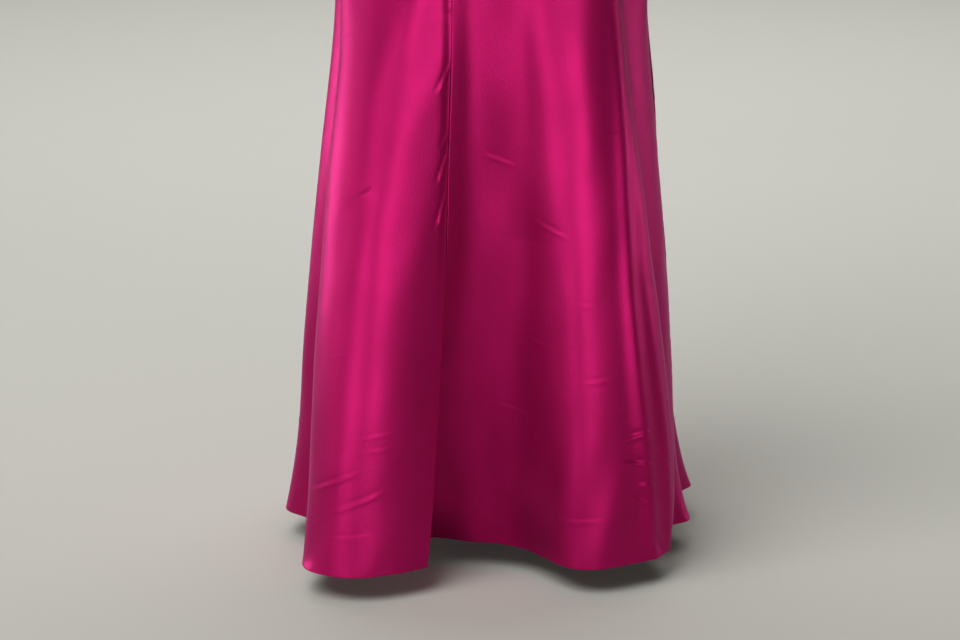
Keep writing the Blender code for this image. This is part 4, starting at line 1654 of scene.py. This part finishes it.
@dataclass(frozen=True)
class ClothFinish:
    """A woven cloth.

    Attributes:
        name: the finish's name.
        colour: its dyed colour, linear.
        pale: the colour of its highest threads.
        roughness: how broad its shine is.
        metallic: how much the dyed threads tint its shine.
        sheen: how much it brightens where the eye skims it.
        threads: threads in a metre.
        bump: how far the threads stand out, as a share.
        stretch: how much its shine is drawn out along the lying threads.
        tint: the colour of its shine.
        fuzz: the colour of its sheen.
    """

    name: str
    colour: tuple[float, float, float]
    pale: tuple[float, float, float]
    roughness: float
    metallic: float
    sheen: float
    threads: float
    bump: float
    stretch: float = 0.0
    tint: tuple[float, float, float] = (1.0, 1.0, 1.0)
    fuzz: tuple[float, float, float] = (1.0, 1.0, 1.0)

    def build(self, woven: bpy.types.NodeTree) -> bpy.types.Material:
        """Makes the material.

        Args:
            woven: the node group for threads.

        Returns:
            The material.
        """
        made, tree, shader = new_material(self.name)
        weave = tree.add("ShaderNodeUVMap", uv_map="weave")
        values = {"Place": weave.outputs[0], "Threads": self.threads}
        threads = tree.add("ShaderNodeGroup", values, node_tree=woven)
        streaks, mottle = threads.outputs["Streaks"], threads.outputs["Mottle"]
        colour = tree.blend((*self.colour, 1.0), (*self.pale, 1.0), tree.spread(streaks, -0.25, 0.75))
        deep = tuple(0.86 * c for c in self.colour)
        colour = tree.blend(colour, (*deep, 1.0), tree.spread(mottle, -0.5, 1.0))
        rough = tree.math("ADD", tree.spread(streaks, -0.06, 0.06), tree.spread(mottle, -0.04, 0.04))
        bump = tree.add(
            "ShaderNodeBump",
            {"Strength": self.bump, "Distance": 0.00008, "Height": threads.outputs["Height"]},
        )
        bump = tree.add(
            "ShaderNodeBump",
            {"Strength": self.bump, "Distance": 0.0008, "Height": threads.outputs["Grain"],
             "Normal": bump.outputs[0]},
        )  # fmt: skip
        across = tree.add("ShaderNodeTangent", direction_type="UV_MAP", uv_map="weave")
        tree.feed(shader, {
            "Metallic": self.metallic, "Specular Tint": (*self.tint, 1.0), "Anisotropic": self.stretch,
            "Sheen Weight": self.sheen, "Sheen Roughness": 0.35, "Sheen Tint": (*self.fuzz, 1.0),
            "Tangent": across.outputs[0], "Base Color": colour, "Normal": bump.outputs[0],
            "Roughness": tree.math("ADD", rough, self.roughness),
        })  # fmt: skip
        return made


@dataclass(frozen=True)
class MetalFinish:
    """Dyed metal, with its dye a little worn and uneven.

    Attributes:
        name: the finish's name.
        colour: its colour, linear.
        roughness: how broad its shine is.
    """

    name: str
    colour: tuple[float, float, float]
    roughness: float

    def build(self) -> bpy.types.Material:
        """Makes the material.

        Returns:
            The material.
        """
        made, tree, shader = new_material(self.name)
        place = tree.add("ShaderNodeTexCoord").outputs["Object"]
        values = {"Vector": place, "Scale": 900.0, "Detail": 5.0}
        grain = tree.add("ShaderNodeTexNoise", values).outputs["Fac"]
        bare = tuple(min(1.0, c * 1.5 + 0.06) for c in self.colour)
        colour = tree.blend((*self.colour, 1.0), (*bare, 1.0), tree.spread(grain, -0.3, 0.8))
        rough = tree.math("ADD", tree.spread(grain, -0.08, 0.08), self.roughness)
        bump = tree.add("ShaderNodeBump", {"Strength": 0.15, "Distance": 0.00005, "Height": grain})
        values = {"Metallic": 0.75, "Base Color": colour, "Roughness": rough, "Normal": bump.outputs[0]}
        tree.feed(shader, values)
        return made


# ---------------------------------------------------------------- the studio


@dataclass(frozen=True)
class SoftLight:
    """A large soft light.

    Attributes:
        name: its name.
        azimuth: where it stands, in degrees from the front towards the wearer's left.
        distance: how far it stands from the gown's axis.
        height: height of its middle.
        size: its width and height.
        watts: its power.
        aim: the point that it faces.
        spread: how wide its beam opens, in degrees.
    """

    name: str
    azimuth: float
    distance: float
    height: float
    size: tuple[float, float]
    watts: float
    aim: tuple[float, float, float] = (0.0, 0.0, -0.95)
    spread: float = 40.0

    def build(self) -> None:
        """Adds the light, turned to its aim."""
        data = bpy.data.lights.new(self.name, "AREA")
        data.shape, data.energy = "RECTANGLE", self.watts
        data.size, data.size_y = self.size
        data.spread = math.radians(self.spread)
        lamp = bpy.data.objects.new(self.name, data)
        turn = math.radians(self.azimuth)
        lamp.location = (self.distance * math.sin(turn), -self.distance * math.cos(turn), self.height)
        lamp.rotation_euler = (Vector(self.aim) - lamp.location).to_track_quat("-Z", "Y").to_euler()
        lamp.visible_camera = False
        bpy.context.scene.collection.objects.link(lamp)


@dataclass
class Studio:
    """The plain floor that curves up into a round wall, the soft lights and the camera.

    Attributes:
        floor_z: height of the floor.
        flat_radius: how far the floor is flat.
        wall_radius: how far away the wall stands.
        wall_top: height of its top.
        bend_steps: how many spaces the bend between them has.
        round_steps: how many spaces the bowl has all round.
        floor_colour: colour of the floor, linear.
        wall_colour: colour of the wall.
        sky: colour of the air's own light.
        sky_strength: how strong that is.
        camera_place: where the camera stands.
        camera_dip: how far it looks down, in degrees.
        camera_lens: its lens, in millimetres on a frame 36 wide.
        lights: the soft lights.
    """

    floor_z: float = -1.545
    flat_radius: float = 9.5
    wall_radius: float = 12.0
    wall_top: float = 9.0
    bend_steps: int = 12
    round_steps: int = 96
    floor_colour: tuple[float, float, float] = (0.55, 0.545, 0.50)
    wall_colour: tuple[float, float, float] = (0.40, 0.40, 0.38)
    sky: tuple[float, float, float] = (0.62, 0.63, 0.62)
    sky_strength: float = 0.08
    camera_place: tuple[float, float, float] = (-0.0164, -3.5, -0.28)
    camera_dip: float = 15.6
    camera_lens: float = 108.45
    lights: tuple[SoftLight, ...] = (
        SoftLight("front light", 16.5, 3.4, -0.97, (1.7, 1.05), 2.05, (0, 0, -1)),
        SoftLight("front left light", -30.0, 3.4, -0.97, (1.9, 1.05), 1.9, (0, 0, -1)),
        SoftLight("left light", -77.0, 3.4, -0.85, (2.1, 1.3), 1.15, (0, 0, -0.95)),
        SoftLight("left rear light", -112.0, 3.4, -1.18, (1.0, 0.6), 1.2, (0, 0, -1.2)),
        SoftLight("right rear light", 104.0, 3.4, -1.20, (1.1, 0.6), 0.5, (0, 0, -1.2)),
        SoftLight("high light", -40.0, 2.8, 3.0, (3.6, 3.6), 92.0, (0, 0, -0.9), 120.0),
        SoftLight("back floor light", 180.0, 3.2, 3.0, (6.0, 4.0), 130.0, (0, 3.4, -1.5), 120.0),
        SoftLight("front floor light", 0.0, 7.0, 3.0, (6.0, 4.0), 80.0, (0, -7.2, -1.5), 90.0),
        SoftLight("left floor light", -90.0, 7.0, 3.0, (6.0, 4.0), 60.0, (-7.2, 0, -1.5), 90.0),
        SoftLight("right floor light", 90.0, 7.0, 3.0, (6.0, 4.0), 60.0, (7.2, 0, -1.5), 90.0),
    )

    def build_floor(self) -> None:
        """Spins the floor's outline round into a bowl."""
        corner = self.wall_radius - self.flat_radius
        turn = np.linspace(0.0, math.pi / 2, self.bend_steps + 1)
        outline = [(0.0, self.floor_z), (self.flat_radius * 0.5, self.floor_z)]
        outline += [
            (self.flat_radius + corner * math.sin(t), self.floor_z + corner * (1 - math.cos(t)))
            for t in turn
        ]
        outline.append((self.wall_radius, self.wall_top))
        mesh = bmesh.new()
        line = [mesh.verts.new((x, 0.0, z)) for x, z in outline]
        edges = [mesh.edges.new(pair) for pair in zip(line, line[1:])]
        bmesh.ops.spin(
            mesh, geom=[*line, *edges], axis=(0, 0, 1), cent=(0, 0, 0), steps=self.round_steps,
            angle=2 * math.pi, use_merge=True,
        )  # fmt: skip
        bmesh.ops.remove_doubles(mesh, verts=mesh.verts, dist=0.0001)
        for face in mesh.faces:
            face.smooth = True
        bmesh.ops.recalc_face_normals(mesh, faces=mesh.faces)
        data = bpy.data.meshes.new("floor")
        mesh.to_mesh(data)
        mesh.free()
        paint, tree, shader = new_material("floor paint")
        place = tree.add("ShaderNodeTexCoord").outputs["Object"]
        cloud = tree.add("ShaderNodeTexNoise", {"Vector": place, "Scale": 1.1, "Detail": 3.0})
        darker = tuple(0.96 * c for c in self.floor_colour)
        colour = tree.blend((*self.floor_colour, 1.0), (*darker, 1.0), cloud.outputs["Fac"])
        apart = tree.add("ShaderNodeSeparateXYZ", {0: place})
        up = tree.add("ShaderNodeMapRange", {0: apart.outputs[2], 1: self.floor_z + 0.02, 2: 1.5})
        colour = tree.blend(colour, (*self.wall_colour, 1.0), up.outputs[0])
        tree.feed(shader, {"Base Color": colour, "Roughness": 0.9, "Specular IOR Level": 0.1})
        new_object("floor", data, paint)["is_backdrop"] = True

    def build_camera(self) -> None:
        """Adds the camera, in front of the skirt's lower half and looking a little down."""
        data = bpy.data.cameras.new("camera")
        data.sensor_width, data.lens = 36.0, self.camera_lens
        data.clip_start, data.clip_end = 0.05, 100.0
        camera = bpy.data.objects.new("camera", data)
        camera.location = self.camera_place
        camera.rotation_euler = (math.radians(90.0 - self.camera_dip), 0.0, 0.0)
        bpy.context.scene.collection.objects.link(camera)
        bpy.context.scene.camera = camera

    def build(self) -> None:
        """Makes the whole studio."""
        self.build_camera()
        self.build_floor()
        for light in self.lights:
            light.build()
        world = bpy.data.worlds.new("studio air")
        world.use_nodes = True
        sky = world.node_tree.nodes["Background"]
        sky.inputs["Color"].default_value = (*self.sky, 1.0)
        sky.inputs["Strength"].default_value = self.sky_strength
        bpy.context.scene.world = world
        bpy.context.scene.view_settings.view_transform = "Standard"


# ---------------------------------------------------------------- the gown


SATIN = ClothFinish(
    "heavy satin", colour=(0.35, 0.0006, 0.074), pale=(0.39, 0.0030, 0.096), roughness=0.37,
    metallic=0.72, sheen=0.17, threads=3000.0, bump=0.25, stretch=0.6, tint=(1.0, 0.48, 1.0),
    fuzz=(1.0, 0.26, 0.36),
)  # fmt: skip
TAPE = ClothFinish(
    "zip tape", colour=(0.36, 0.006, 0.09), pale=(0.42, 0.012, 0.12), roughness=0.75,
    metallic=0.0, sheen=0.2, threads=1800.0, bump=0.5,
)  # fmt: skip
THREAD = ClothFinish(
    "sewing thread", colour=(0.42, 0.008, 0.11), pale=(0.50, 0.02, 0.16), roughness=0.55,
    metallic=0.0, sheen=0.1, threads=4000.0, bump=0.5,
)  # fmt: skip
METAL = MetalFinish("dyed zip metal", colour=(0.42, 0.008, 0.11), roughness=0.34)


def corners() -> list[list[float]]:
    """The lowest and highest corner of all that is shown."""
    return [[float(value) for value in corner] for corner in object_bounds()]


def main() -> None:
    """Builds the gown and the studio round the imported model."""
    logging.basicConfig(level=logging.INFO, format="%(name)s: %(message)s")
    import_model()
    Studio().build()
    figure = Figure()
    woven = woven_group()
    satin = SATIN.build(woven)
    metal = METAL.build()
    skirt, bodice = Skirt(figure), Bodice(figure)
    pieces = skirt.build(satin) + bodice.build(satin)
    pieces += Straps(bodice.form).build(satin)
    zipper = Zip(bodice.form, skirt.form)
    tape, thread = TAPE.build(woven), THREAD.build(woven)
    pieces += zipper.build_tapes(tape)
    pieces.append(zipper.build_coils(tape))
    pieces.append(zipper.build_stitches(thread))
    pieces.append(HemStitches(skirt.form).build(thread))
    pieces.append(Metalwork().build("zip_slider", Body.GOWN, metal))
    pieces.append(Metalwork().build("zip_pull", Body.PULL, metal))
    for piece in pieces:
        LOG.info("%s: %d faces", piece.name, len(piece.data.polygons))


if __name__ == "__main__":
    main()
